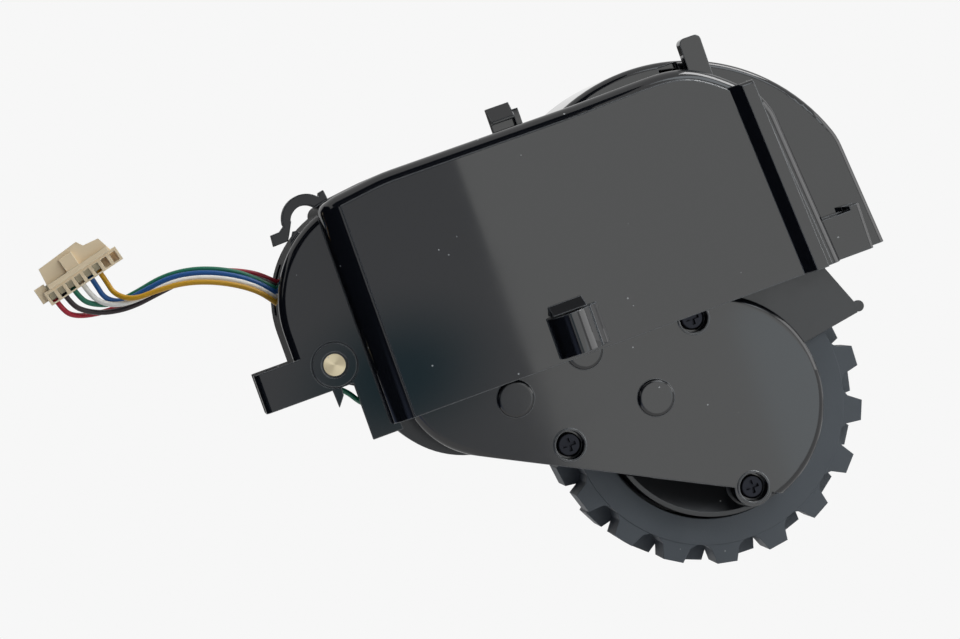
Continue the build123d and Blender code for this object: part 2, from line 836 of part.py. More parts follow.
def make_barrel_arms():
    """Pivot barrel and the two webs that tie it to the casing and to the motor cup."""
    near = pivot_face + pivot_wall + barrel_gap
    far = box_inner_back - barrel_gap
    barrel = rod(0, pivot_z, barrel_radius, near, far)
    heel = (heel_flange_x - heel_web_inset, heel_flange_z + heel_web_rise, near_web_radius)
    near_web = slab(hull_of([(0, pivot_z, barrel_radius), heel]), case_split, case_split + near_web_thickness)
    cup_radius = motor_radius + motor_gap + motor_cup_wall
    far_web_back = far_web_near + far_web_thickness
    far_web = slab(
        hull_of([(0, pivot_z, barrel_radius), (*motor_axis, far_web_radius)]), far_web_near, far_web_back
    )
    far_web -= rod(*motor_axis, cup_radius - motor_cup_wall / 2, 0, housing_depth)
    return barrel + near_web + far_web


def make_shield():
    """Flat plate above the wheel that closes the gap in the housing, with the stop nub at its corner."""
    nub = (arch_side_x - nub_inset, wheel_z + nub_rise)
    corners = [(wheel_x + x, wheel_z + z) for x, z in shield_corners]
    outline = make_face(Polyline(
        (nub[0] - nub_radius / 2, nub[1] - nub_radius), (nub[0] - nub_radius / 2, nub[1] + nub_radius),
        *corners, close=True,
    ))
    outline += Pos(*nub) * Circle(nub_radius)
    inner = Pos(*wheel_axis) * Circle(case_tip_radius - 0.5)
    return slab(outline - inner, shield_face, shield_face + shield_thickness)


def make_cover_screw(x, z):
    head = rod(x, z, screw_head_radius, screw_seat_y - screw_head_height, screw_seat_y)
    crown = fillet(head.faces().sort_by(Axis.Y)[0].edges(), 0.5)
    screw = crown + rod(x, z, screw_shank_radius, screw_seat_y, screw_end_y)
    slot_depth = screw_seat_y - screw_head_height + 0.9
    cross = Pos(x, z) * (Rectangle(2.8, 0.7) + Rectangle(0.7, 2.8))
    return screw - slab(cross, 0, slot_depth)


# Wheel

def make_tyre():
    """Rubber ring with two rows of lugs, the far row turned by half a pitch."""
    far = tyre_near + tyre_width
    profile = make_face(Polyline(
        (tyre_lip_radius, tyre_near),
        (tyre_root_radius, tyre_near),
        (tyre_root_radius, far),
        (tyre_lip_radius, far),
        (tyre_lip_radius, far - tyre_lip_thickness),
        (tyre_seat_radius, far - tyre_lip_thickness),
        (tyre_seat_radius, tyre_near + tyre_lip_thickness),
        (tyre_lip_radius, tyre_near + tyre_lip_thickness),
        close=True,
    ))
    ring = revolve(profile, Axis.Y)
    middle = tyre_near + tyre_width / 2
    pitch = 360 / lugs_per_row
    lug = make_lug()
    lugs = []
    for count in range(lugs_per_row):
        angle = lug_first_angle + pitch * count
        lugs.append(slab(Rot(0, 0, angle) * lug, tyre_near + lug_inset, middle))
        lugs.append(slab(Rot(0, 0, angle + pitch / 2) * lug, middle, far - lug_inset))
    return Pos(wheel_x, 0, wheel_z) * ring.fuse(*lugs)


def make_lug():
    """One lug seen from the side, on the first axis: a tapered block with a flared foot."""
    inside = tyre_root_radius - 0.6
    flare = tyre_root_radius + lug_flare_height
    return make_face(Polyline(
        (inside, -lug_flare_width / 2),
        (tyre_root_radius - 0.2, -lug_flare_width / 2),
        (flare, -lug_root_width / 2),
        (tyre_radius, -lug_tip_width / 2),
        (tyre_radius, lug_tip_width / 2),
        (flare, lug_root_width / 2),
        (tyre_root_radius - 0.2, lug_flare_width / 2),
        (inside, lug_flare_width / 2),
        close=True,
    ))


def flatted(radius):
    """Round section with one flat, as on the axle and in the hub."""
    cut = Pos(0, 2 * radius - axle_flat) * Rectangle(4 * radius, 2 * radius)
    return Circle(radius) - cut


def make_hub():
    """Plastic wheel: rim, web, boss and ribs in one piece, with a flatted hole for the axle."""
    rim_near = tyre_near + tyre_lip_thickness
    rim_far = tyre_near + tyre_width - tyre_lip_thickness
    web_far = hub_web_near + hub_web_thickness
    profile = make_face(Polyline(
        (0, hub_web_near), (rim_inner_radius, hub_web_near), (rim_inner_radius, rim_near),
        (tyre_seat_radius, rim_near), (tyre_seat_radius, rim_far), (rim_inner_radius, rim_far),
        (rim_inner_radius, web_far), (hub_boss_radius, web_far), (hub_boss_radius, axle_far),
        (0, axle_far), close=True,
    ))
    hub = Pos(wheel_x, 0, wheel_z) * revolve(profile, Axis.Y)
    rib_length = rim_inner_radius - hub_boss_radius + 1
    rib = Pos((rim_inner_radius + hub_boss_radius) / 2, 0) * Rectangle(rib_length, hub_rib_width)
    for count in range(hub_rib_count):
        turned = Pos(*wheel_axis) * Rot(0, 0, 360 * count / hub_rib_count) * rib
        hub += slab(turned, web_far, axle_far - 1)
    return hub - slab(Pos(*wheel_axis) * flatted(axle_radius + fit_gap), 0, housing_depth)


def make_axle():
    axle = rod(*wheel_axis, axle_radius, axle_near, axle_far)
    flatting = Circle(axle_radius) - flatted(axle_radius)
    axle -= slab(Pos(*wheel_axis) * flatting, hub_web_near, axle_far)
    thread = rod(*wheel_axis, hub_screw_radius + fit_gap, axle_far - hub_screw_length - 0.3, axle_far)
    return axle - thread


def make_output_gear():
    near = axle_near + 0.2
    far = layer(2)[1]
    gear = toothed(wheel_axis, output_teeth, output_phase, near, far)
    return gear - rod(*wheel_axis, axle_radius + fit_gap, near, far)


def make_bearings():
    rings = []
    near = case_floor + 0.2
    for count in range(2):
        start = near + count * (bearing_width + bearing_gap)
        far = start + bearing_width
        rings.append(tube(*wheel_axis, bearing_radius, axle_radius + running_gap, start, far))
    return Compound(children=[ring.solid() for ring in rings])


def make_hub_screw():
    head_near = axle_far + washer_thickness
    head = rod(*wheel_axis, hub_screw_head, head_near, head_near + 1.8)
    head = fillet(head.faces().sort_by(Axis.Y)[-1].edges(), 0.6)
    screw = head + rod(*wheel_axis, hub_screw_radius, axle_far - hub_screw_length, head_near)
    cross = Pos(*wheel_axis) * (Rectangle(3.2, 0.8) + Rectangle(0.8, 3.2))
    return screw - slab(cross, head_near + 0.8, head_near + 2)


# Motor

motor_back = casing_back + motor_length


def make_motor_can():
    near = casing_back
    can = rod(*motor_axis, motor_radius, near, motor_back)
    can = fillet(can.faces().sort_by(Axis.Y)[0].edges(), 0.8)
    can += rod(*motor_axis, motor_boss_radius, near - 1.0, near)
    can -= rod(*motor_axis, motor_shaft_radius + running_gap, 0, housing_depth)
    for axis in motor_screw_axes():
        can -= rod(*axis, motor_screw_radius + fit_gap, near, near + motor_screw_reach + motor_screw_end_gap)
    return can


def make_end_cap():
    cap = rod(*motor_axis, motor_radius - 0.4, motor_back, motor_back + end_cap_thickness)
    cap -= rod(*motor_axis, motor_shaft_radius + running_gap, 0, housing_depth)
    for axis in blade_axes():
        cap -= slab(Pos(*axis) * Rectangle(2.1, 0.7), motor_back, housing_depth)
    return cap


def blade_axes():
    return [step_from(motor_axis, blade_offset, 180), step_from(motor_axis, blade_offset, 0)]


def make_terminals():
    far = motor_back + end_cap_thickness + board_gap + board_thickness + 0.3
    blades = [slab(Pos(*axis) * Rectangle(2.0, 0.6), motor_back + 0.1, far) for axis in blade_axes()]
    return Compound(children=[blade.solid() for blade in blades])


def make_board():
    near = motor_back + end_cap_thickness + board_gap
    board = slab(Pos(*motor_axis) * Rectangle(board_width, board_height), near, near + board_thickness)
    board = fillet(board.edges().filter_by(Axis.Y), 1.5)
    board -= rod(*motor_axis, magnet_radius + 0.5, 0, housing_depth)
    for axis in blade_axes():
        board -= slab(Pos(*axis) * Rectangle(2.1, 0.7), 0, housing_depth)
    return board


def make_magnet():
    near = motor_back + end_cap_thickness + 0.3
    return tube(*motor_axis, magnet_radius, motor_shaft_radius + fit_gap, near, near + magnet_length)


def make_motor_shaft():
    far = motor_back + end_cap_thickness + 0.3 + magnet_length
    return rod(*motor_axis, motor_shaft_radius, layer(1)[0] - 0.2, far)


def make_motor_pinion():
    near = layer(1)[0]
    far = near + motor_pinion_length
    pinion = toothed(motor_axis, motor_pinion_teeth, motor_pinion_phase, near, far)
    return pinion - rod(*motor_axis, motor_shaft_radius + fit_gap, near, far)


def make_motor_screws():
    screws = []
    for axis in motor_screw_axes():
        head = rod(*axis, motor_screw_head, case_floor - motor_screw_head_height, case_floor)
        shank = rod(*axis, motor_screw_radius, case_floor, casing_back + motor_screw_reach)
        screws.append((head + shank).solid())
    return Compound(children=screws)


# Pivot pieces

def make_bushes():
    near = pivot_face + pivot_wall + barrel_gap
    far = box_inner_back - barrel_gap
    bore = pin_radius + running_gap
    rings = [
        tube(0, pivot_z, bush_radius, bore, near, near + bush_length),
        tube(0, pivot_z, bush_radius, bore, far - bush_length, far),
    ]
    return Compound(children=[ring.solid() for ring in rings])


def make_pin():
    far = housing_depth + pin_far_reach
    pin = rod(0, pivot_z, pin_radius, pivot_face - pivot_boss_height + pin_near_sink, far)
    near = housing_depth + clip_groove_inset
    far = near + clip_ring_thickness + 2 * clip_ring_gap
    groove = tube(0, pivot_z, pin_radius + 1, pin_radius - clip_groove_depth, near, far)
    return pin - groove


def make_pin_clip():
    near = housing_depth + clip_groove_inset + clip_ring_gap
    ring = Circle(clip_ring_radius) - Circle(pin_radius - clip_groove_depth + running_gap)
    slot_length = 1.5 * clip_ring_radius
    ring -= Pos(0, -slot_length / 2) * Rectangle(clip_ring_slot, slot_length)
    ring = Pos(0, pivot_z) * ring
    return slab(ring, near, near + clip_ring_thickness)


def make_spring():
    """Torsion spring: open turns round the barrel, between the casing and the far web."""
    height = spring_turns * spring_pitch
    coil = Helix(spring_pitch, height, spring_mean_radius)
    start = coil.position_at(0)
    section = Plane(origin=start, z_dir=coil.tangent_at(0)) * Circle(spring_wire_radius)
    turns = sweep(section, path=coil)
    near = casing_back + spring_gap + spring_wire_radius
    return Pos(0, near, pivot_z) * Rot(-90, 0, 0) * turns


# Wires and connector. The connector is drawn lying flat: ways along X, wires leaving towards -Z.

def from_connector(x, y, z):
    """Point of the connector's own frame in the drawing frame."""
    turn = radians(connector_tilt)
    return (
        connector_x + x * cos(turn) - z * sin(turn),
        connector_y + y,
        connector_z + x * sin(turn) + z * cos(turn),
    )


def way_x(way):
    return (way - (connector_ways - 1) / 2) * connector_pitch


def make_connector():
    """Wire-side half with its row of ways, a raised ridge, and the narrower plug with its latch."""
    half = connector_thickness / 2
    base = block((-connector_base / 2, -half, 0), (connector_base / 2, half, connector_base_height))
    ridge_reach = connector_base / 2 - connector_ridge_inset
    ridge = block(
        (-ridge_reach, -half - connector_ridge_proud, connector_base_height - 0.1),
        (ridge_reach, half, connector_base_height + connector_ridge),
    )
    plug_low = connector_base_height
    outline = make_face(Polyline(
        (-connector_plug / 2 - 0.6, plug_low), (-connector_plug / 2, connector_height),
        (2.6, connector_height + 0.5), (3.4, connector_height - 0.9),
        (connector_plug / 2, connector_height - 1.4), (connector_plug / 2 + 0.8, plug_low),
        close=True,
    ))
    plug = slab(outline, -half + 0.5, half - 0.3)
    latch = block(
        (connector_latch_left, -half - 0.3, plug_low),
        (connector_latch_right, -half + 0.6, connector_height - 0.6),
    )
    latch = fillet(latch.edges().filter_by(Axis.X).sort_by(Axis.Y)[:2], 0.3)
    lug = block(
        (-connector_base / 2 - connector_lug_reach, -half + 0.9, connector_lug_low),
        (-connector_base / 2 + 0.9, half - 0.9, connector_lug_high),
    )
    body = base + ridge + plug + latch + lug
    cell = connector_pitch - connector_rib
    for way in range(connector_ways):
        passage = Box(cell, cell, 4 * connector_height)
        window = Box(cell, connector_thickness, connector_base_height - 1.0)
        body -= Pos(way_x(way), 0, 0) * passage
        body -= Pos(way_x(way), -half, connector_base_height / 2 - 0.2) * window
    return Pos(connector_x, connector_y, connector_z) * Rot(0, -connector_tilt, 0) * body


def make_crimps():
    """Crimped terminals in the ways that have a wire."""
    size = connector_pitch - connector_rib - 0.15
    crimps = []
    for way in range(len(loom)):
        crimp = Pos(way_x(way), 0, wire_insert + 0.1 + crimp_length / 2) * Box(size, size, crimp_length)
        placed = Pos(connector_x, connector_y, connector_z) * Rot(0, -connector_tilt, 0) * crimp
        crimps.append(placed.solid())
    return Compound(children=crimps)


# For each wire: how far below the connector it turns, its depth Y, and the corners it runs through (X, Z).
loom = {
    "red_wire": (2.0, 22.7, [
        (-45.9, 41.8), (-42.2, 40.7), (-36.8, 40.4), (-30.2, 41.0), (-23.5, 41.9), (-16.8, 41.3),
        (-10.6, 39.1), (-6.2, 36.3), (-3.2, 32.9),
    ]),
    "black_wire": (2.2, 21.5, [
        (-43.3, 41.9), (-39.7, 40.2), (-34.4, 39.5), (-28.2, 40.4), (-21.5, 41.3), (-15.0, 40.2),
        (-9.4, 37.5), (-5.6, 34.6), (-3.0, 31.2),
    ]),
    "green_wire": (2.2, 20.3, [
        (-41.4, 42.7), (-37.8, 41.4), (-32.4, 42.1), (-26.4, 43.4), (-20.2, 42.9), (-14.0, 40.6),
        (-8.9, 37.3), (-4.4, 32.2),
    ]),
    "white_wire": (2.3, 17.9, [
        (-39.7, 42.4), (-36.3, 40.7), (-30.8, 40.8), (-24.6, 41.8), (-18.0, 40.4), (-12.0, 37.4),
        (-7.8, 34.0), (-5.0, 30.0),
    ]),
    "blue_wire": (1.4, 19.1, [
        (-38.8, 42.9), (-35.4, 41.1), (-30.4, 42.0), (-24.4, 42.8), (-17.8, 41.4), (-11.8, 38.4),
        (-7.6, 35.0), (-4.4, 31.0),
    ]),
    "yellow_wire": (1.9, 16.6, [
        (-36.7, 43.2), (-33.4, 40.9), (-28.2, 41.1), (-22.4, 40.7), (-16.6, 38.8), (-11.2, 35.8),
        (-7.5, 32.5), (-5.3, 28.8),
    ]),
}

motor_lead = [
    (-1.0, 18.0, 26.5),
    (-4.75, 10.9, 21.5),
    (-4.75, 10.9, 12.0),
    (0.2, 10.9, 9.7),
    (3.0, 12.5, 5.2),
    (4.2, 18.0, 5.0),
    (6.4, 20.5, 8.5),
]


def loom_points(way, turn_below, depth, corners):
    """Corner points of a wire: out of its way in the connector, then along its own depth."""
    inside = from_connector(way_x(way), 0, wire_insert)
    below = from_connector(way_x(way), 0, -turn_below)
    (first_x, first_z), *others = corners
    first_depth = connector_y + depth_share * (depth - connector_y)
    return [inside, below, (first_x, first_depth, first_z)] + [(x, depth, z) for x, z in others]


def make_wire(name, points):
    """Round wire along corner points, each corner rounded to suit its shorter run."""
    runs = [Vector(*b) - Vector(*a) for a, b in zip(points, points[1:])]
    radii = []
    for before, after in zip(runs, runs[1:]):
        turn = radians(before.get_angle(after))
        radii.append(0.45 * min(before.length, after.length) / tan(turn / 2))
    path = FilletPolyline(*points, radius=radii)
    section = Plane(origin=path.position_at(0), z_dir=path.tangent_at(0)) * Circle(wire_radius)
    wire = sweep(section, path=path)
    expected = pi * wire_radius ** 2 * path.length
    print(
        name, "length", round(path.length, 1), "volume ratio", round(wire.volume / expected, 3),
        "bend radii", [round(radius, 1) for radius in radii],
    )
    return wire


for way, (name, (turn_below, depth, corners)) in enumerate(loom.items()):
    save(make_wire(name, loom_points(way, turn_below, depth, corners)), name)
save(make_wire("green_motor_lead", motor_lead), "green_motor_lead")
save(make_crimps(), "connector_terminals")
save(make_housing(), "wheel_housing")
save(make_pin(), "pivot_pin")
save(make_pin_clip(), "pivot_pin_clip")
save(make_spring(), "suspension_spring")
save(make_cover(), "gearbox_front_cover")
save(make_rear_shell(), "gearbox_rear_shell")
save(Compound(children=[make_cover_screw(x, z).solid() for x, z in case_screws]), "cover_screws")
save(make_bushes(), "pivot_bushes")
save(Compound(children=[
    rod(*axis, gear_pin_radius, gear_pin_near + 0.1, back - 0.5).solid()
    for axis, boss_near, back in gear_pin_places()
]), "gear_pins")
save(make_bearings(), "axle_bearings")
save(make_motor_can(), "motor_can")
save(make_end_cap(), "motor_end_cap")
save(make_motor_screws(), "motor_screws")
save(make_terminals(), "motor_terminals")
save(make_board(), "speed_sensor_board")
save(make_motor_shaft(), "motor_shaft")
save(make_motor_pinion(), "motor_pinion")
save(make_magnet(), "sensor_magnet")
save(
    compound_gear(first_axis, first_gear_teeth, 1, first_pinion_teeth, first_pinion_phase, 0),
    "first_gear",
)
save(
    compound_gear(second_axis, second_gear_teeth, 0, second_pinion_teeth, second_pinion_phase, 1),
    "second_gear",
)
save(
    compound_gear(third_axis, third_gear_teeth, 1, third_pinion_teeth, third_pinion_phase, 2),
    "third_gear",
)
save(make_output_gear(), "output_gear")
save(make_axle(), "wheel_axle")
save(make_hub(), "wheel_hub")
save(make_tyre(), "tyre")
save(
    tube(*wheel_axis, washer_radius, hub_screw_radius + 0.1, axle_far, axle_far + washer_thickness),
    "hub_washer",
)
save(make_hub_screw(), "hub_screw")
save(make_connector(), "connector_housing")
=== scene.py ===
# %% [markdown]
# # Robot vacuum wheel module
# The real part is a drive wheel on a sprung gearbox arm, in a black moulded housing, with a short wire
# loom. Its solids are already drawn and packed, so they could be modelled again here, but then they would
# no longer be the same part. They come in as a fixed frame instead, and this script dresses them.

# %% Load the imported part
import json
import math

import bpy
from mathutils import Matrix, Vector


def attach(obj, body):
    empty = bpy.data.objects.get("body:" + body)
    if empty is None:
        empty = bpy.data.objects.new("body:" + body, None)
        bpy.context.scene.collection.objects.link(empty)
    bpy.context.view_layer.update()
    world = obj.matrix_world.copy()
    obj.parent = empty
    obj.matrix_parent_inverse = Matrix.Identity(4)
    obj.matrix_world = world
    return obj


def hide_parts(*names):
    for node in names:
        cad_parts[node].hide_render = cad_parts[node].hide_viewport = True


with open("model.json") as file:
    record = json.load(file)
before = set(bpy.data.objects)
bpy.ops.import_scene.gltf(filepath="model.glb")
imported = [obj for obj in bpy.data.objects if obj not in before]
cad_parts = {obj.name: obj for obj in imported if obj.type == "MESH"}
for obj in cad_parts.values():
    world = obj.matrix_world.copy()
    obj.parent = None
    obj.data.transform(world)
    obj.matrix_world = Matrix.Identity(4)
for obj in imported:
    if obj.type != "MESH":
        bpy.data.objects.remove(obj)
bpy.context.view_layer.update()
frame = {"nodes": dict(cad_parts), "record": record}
nodes = frame["nodes"]

# %% [markdown]
# Blender works in metres, in the part's own frame, whose origin is the screw hole in the fixing ear. The
# drawing in part.py is in millimetres and starts elsewhere. A few of its points are needed again for the
# camera, the roof and the wires. One small function that converts them keeps them readable, where
# converting each number by hand would hide where it came from.

# %% Points repeated from the drawing
EAR_HOLE = Vector((-12.2, 12.0, 10.2))
MM = 0.001
PIVOT_POINT = (0, 20, 15)


def from_drawing(x, y, z):
    return (Vector((x, y, z)) - EAR_HOLE) * MM


print("pivot axis passes", from_drawing(*PIVOT_POINT))

# %% [markdown]
# The photograph looks at the housing's front from a little to the left, about level with the roof, and it
# is turned so that the base runs up to the right. A camera could be aimed at a target and then rolled by
# eye. Here its right and ahead directions are written down, because they fix the aim and the roll at
# once, and its up direction follows from the two.

# %% Camera
CAMERA_AT = from_drawing(-31.8, -464.5, 44.6)
CAMERA_RIGHT = Vector((0.931681, -0.146083, -0.332612)).normalized()
CAMERA_AHEAD = Vector((0.131875, 0.989131, -0.065031)).normalized()
SENSOR_WIDTH = 36.0
LENS = 87.6

camera_data = bpy.data.cameras.new("camera")
camera_data.sensor_width = SENSOR_WIDTH
camera_data.lens = LENS
camera_data.clip_start = 0.01
camera_data.clip_end = 20.0
camera = bpy.data.objects.new("camera", camera_data)
camera_up = CAMERA_RIGHT.cross(CAMERA_AHEAD).normalized()
axes = Matrix((CAMERA_RIGHT, camera_up, -CAMERA_AHEAD)).transposed()
camera.matrix_world = Matrix.Translation(CAMERA_AT) @ axes.to_4x4()
bpy.context.scene.collection.objects.link(camera)
bpy.context.scene.camera = camera
bpy.context.scene.view_settings.view_transform = "Standard"
print("camera at", tuple(round(v, 3) for v in CAMERA_AT))

# %% [markdown]
# The background is pale. More light would make it pale too, but would wash out the black plastic. So the
# pale colour is given only to the rays that look at it: straight from the camera, or by way of a shiny or
# clear surface. This helper makes a mask of those rays, for the world and for the floor.

# %% Mask of the rays that see the background
BACKGROUND = (0.93, 0.93, 0.93, 1.0)


def pale_rays(tree):
    """Mask that is 1 for camera, glossy and transmission rays."""
    path = tree.nodes.new("ShaderNodeLightPath")
    mask = path.outputs["Is Camera Ray"]
    for ray in ("Is Glossy Ray", "Is Transmission Ray"):
        either = tree.nodes.new("ShaderNodeMath")
        either.operation = "MAXIMUM"
        tree.links.new(mask, either.inputs[0])
        tree.links.new(path.outputs[ray], either.inputs[1])
        mask = either.outputs[0]
    return mask


print("background", BACKGROUND)

# %% [markdown]
# The world has two strengths. Its pale one is what the camera and the gloss see. Its plain one lights the
# object from all sides, weakly, so that no shadow goes quite black.

# %% World
PLAIN_TINT = (0.95, 0.97, 1.0, 1.0)
PLAIN_STRENGTH = 0.55

world = bpy.data.worlds.new("studio")
world.use_nodes = True
world_tree = world.node_tree
world_tree.nodes.clear()
world_out = world_tree.nodes.new("ShaderNodeOutputWorld")
pale = world_tree.nodes.new("ShaderNodeBackground")
pale.inputs["Color"].default_value = BACKGROUND
plain = world_tree.nodes.new("ShaderNodeBackground")
plain.inputs["Color"].default_value = PLAIN_TINT
plain.inputs["Strength"].default_value = PLAIN_STRENGTH
choose = world_tree.nodes.new("ShaderNodeMixShader")
world_tree.links.new(pale_rays(world_tree), choose.inputs["Fac"])
world_tree.links.new(plain.outputs[0], choose.inputs[1])
world_tree.links.new(pale.outputs[0], choose.inputs[2])
world_tree.links.new(choose.outputs[0], world_out.inputs["Surface"])
bpy.context.scene.world = world
print("world", world.name)

# %% [markdown]
# A glossy black part is seen by what it reflects, so the lamps are wide. Small ones would leave bright
# spots. The fill lamp stands in front on the right, and its reflection is the paler two thirds of the
# housing's front. The low lamp, just in front of its lower part, adds some blue. The key, side and window
# lamps stand on the right too and catch edges and slopes. The rear lamp lights what faces away from the
# camera, and is hidden from gloss, where its reflection would be too bright.

# %% Lamps
def area_lamp(name, at, towards, size, power, tint=(1.0, 1.0, 1.0)):
    data = bpy.data.lights.new(name, "AREA")
    data.shape = "RECTANGLE"
    data.size, data.size_y = size
    data.energy = power
    data.color = tint
    lamp = bpy.data.objects.new(name, data)
    lamp.location = at
    lamp.rotation_euler = (Vector(towards) - Vector(at)).to_track_quat("-Z", "Y").to_euler()
    bpy.context.scene.collection.objects.link(lamp)
    return lamp


lamps = [
    area_lamp("key_lamp", (0.75, -0.15, 0.75), (0.06, 0.0, 0.0), (0.45, 0.45), 5.0),
    area_lamp(
        "fill_lamp", (0.56, -1.1, -0.065), (0.56, 0.0, -0.065), (0.95, 0.49), 1.28, (0.975, 1.0, 0.985)
    ),
    area_lamp("low_lamp", (0.6, -1.08, -0.22), (0.6, 0.0, -0.22), (0.5, 0.2), 0.14, (0.5, 0.78, 1.0)),
    area_lamp("side_lamp", (1.15, -0.35, 0.1), (0.1, -0.35, 0.1), (0.9, 0.55), 2.8),
    area_lamp("window_lamp", (0.75, -1.0, 0.6), (0.08, 0.0, 0.0), (0.7, 0.5), 2.6, (0.85, 0.93, 1.0)),
]
rear = area_lamp("rear_lamp", (-0.1, 1.4, 0.35), (0.05, 0.0, 0.0), (1.0, 0.7), 2.2)
rear.visible_camera = False
rear.visible_glossy = False
print("lamps", [lamp.name for lamp in lamps + [rear]])

# %% [markdown]
# The photograph shows no table, so the floor lies well below the part. It could be a plain pale board, but
# then its colour would change with the lamps. So it glows with the background's colour for the rays that see
# it, with a painted shadow wherever something comes close to it, and is a plain board to all other rays.

# %% Floor
FLOOR_Z = -0.45
FLOOR_REACH = 4.0
SHADOW_REACH = 0.12


def flat_card(name, corners, material):
    mesh = bpy.data.meshes.new(name)
    mesh.from_pydata([Vector(corner) for corner in corners], [], [tuple(range(len(corners)))])
    mesh.materials.append(material)
    card = bpy.data.objects.new(name, mesh)
    bpy.context.scene.collection.objects.link(card)
    return card


floor_finish = bpy.data.materials.new("pale_floor")
floor_finish.use_nodes = True
floor_tree = floor_finish.node_tree
floor_board = floor_tree.nodes["Principled BSDF"]
floor_board.inputs["Base Color"].default_value = (0.8, 0.8, 0.8, 1.0)
floor_board.inputs["Roughness"].default_value = 0.8
floor_glow = floor_tree.nodes.new("ShaderNodeEmission")
# Ambient occlusion darkens the floor's glow into a painted shadow.
floor_shade = floor_tree.nodes.new("ShaderNodeAmbientOcclusion")
floor_shade.inputs["Color"].default_value = BACKGROUND
floor_shade.inputs["Distance"].default_value = SHADOW_REACH
floor_tree.links.new(floor_shade.outputs["Color"], floor_glow.inputs["Color"])
floor_mix = floor_tree.nodes.new("ShaderNodeMixShader")
floor_tree.links.new(pale_rays(floor_tree), floor_mix.inputs["Fac"])
floor_tree.links.new(floor_board.outputs[0], floor_mix.inputs[1])
floor_tree.links.new(floor_glow.outputs[0], floor_mix.inputs[2])
floor_tree.links.new(floor_mix.outputs[0], floor_tree.nodes["Material Output"].inputs["Surface"])
floor_corners = [
    (-FLOOR_REACH, -FLOOR_REACH, FLOOR_Z),
    (FLOOR_REACH, -FLOOR_REACH, FLOOR_Z),
    (FLOOR_REACH, FLOOR_REACH, FLOOR_Z),
    (-FLOOR_REACH, FLOOR_REACH, FLOOR_Z),
]
flat_card("floor", floor_corners, floor_finish)
print("floor at", FLOOR_Z)

# %% [markdown]
# A photographer puts cards round a glossy thing, out of the picture, to shape its reflections. The same is
# done here. A card could have one colour, but real cards aren't evenly lit. So each glows with one colour
# near a chosen point and another far from it. The distance is measured in reaches, one for each axis, so
# the near spot can be an oval.

# %% How a card glows
def distance_share(tree, centre, reach):
    """How far a point of the surface is from centre, in reaches."""
    place = tree.nodes.new("ShaderNodeNewGeometry")
    offset = tree.nodes.new("ShaderNodeVectorMath")
    offset.operation = "SUBTRACT"
    offset.inputs[1].default_value = centre
    tree.links.new(place.outputs["Position"], offset.inputs[0])
    share = tree.nodes.new("ShaderNodeVectorMath")
    share.operation = "DIVIDE"
    share.inputs[1].default_value = reach
    tree.links.new(offset.outputs["Vector"], share.inputs[0])
    length = tree.nodes.new("ShaderNodeVectorMath")
    length.operation = "LENGTH"
    tree.links.new(share.outputs["Vector"], length.inputs[0])
    return length.outputs["Value"]


def card_finish(name, near, far, low, high, centre, reach):
    """A glow that goes from near to far as the distance from centre goes from low to high reaches."""
    material = bpy.data.materials.new(name)
    material.use_nodes = True
    tree = material.node_tree
    tree.nodes.clear()
    fade = tree.nodes.new("ShaderNodeMapRange")
    fade.interpolation_type = "SMOOTHSTEP"
    fade.inputs["From Min"].default_value = low
    fade.inputs["From Max"].default_value = high
    tree.links.new(distance_share(tree, centre, reach), fade.inputs["Value"])
    light = tree.nodes.new("ShaderNodeMix")
    light.data_type = "RGBA"
    light.inputs["A"].default_value = (*near, 1.0)
    light.inputs["B"].default_value = (*far, 1.0)
    tree.links.new(fade.outputs["Result"], light.inputs["Factor"])
    glow = tree.nodes.new("ShaderNodeEmission")
    tree.links.new(light.outputs["Result"], glow.inputs["Color"])
    out = tree.nodes.new("ShaderNodeOutputMaterial")
    tree.links.new(glow.outputs[0], out.inputs["Surface"])
    return material


print("helpers distance_share and card_finish")

# %% [markdown]
# The grey card is pale, with a darker blue oval low down for the dark patch on the left third of the
# housing's front. The dark cards are nearly black, with some blue low down on the left. A picture of
# a room could be reflected instead, but two colours are enough and are easier to adjust.

# %% Finishes of the cards
NEAR_BLUE = (0.525, 0.638, 0.975)
FAR_BLUE = (0.014, 0.017, 0.026)
grey_card = card_finish(
    "grey_card", (0.22, 0.39, 0.46), (0.83, 0.85, 0.88), 0.1, 1.0, (0.112, -1.0, -0.078), (0.085, 1.0, 0.062)
)
dark_card = card_finish("dark_card", NEAR_BLUE, FAR_BLUE, 0.0, 1.0, (-0.4, -1.0, -0.23), (0.5, 1.0, 0.2))
left_card = card_finish("left_card", NEAR_BLUE, FAR_BLUE, 0.3, 1.0, (-0.8, 0.5, -0.19), (1.0, 0.6, 0.13))
back_card = card_finish(
    "back_card", (0.05, 0.05, 0.05), (0.12, 0.12, 0.12), 0.0, 1.0, (0.0, 0.6, 0.0), (0.2, 1.0, 0.2)
)
print("card finishes", [material.name for material in (grey_card, dark_card, left_card, back_card)])

# %% [markdown]
# The grey card is what the housing's front reflects on its left third, and its right edge is the line that
# crosses the front in the photograph. The dark cards keep the left faces, the pivot end and the rib
# nearly black. The back card stands behind the part, for the edges that reflect what lies there. It takes
# no part in diffuse light and shadows. Darker paint could fake all this, but only from one side.

# %% Cards
CARD_Y = -1.0
DARK_Y = CARD_Y + 0.02
CARD_FOOT = FLOOR_Z + 0.128
CARD_TOP = 0.9

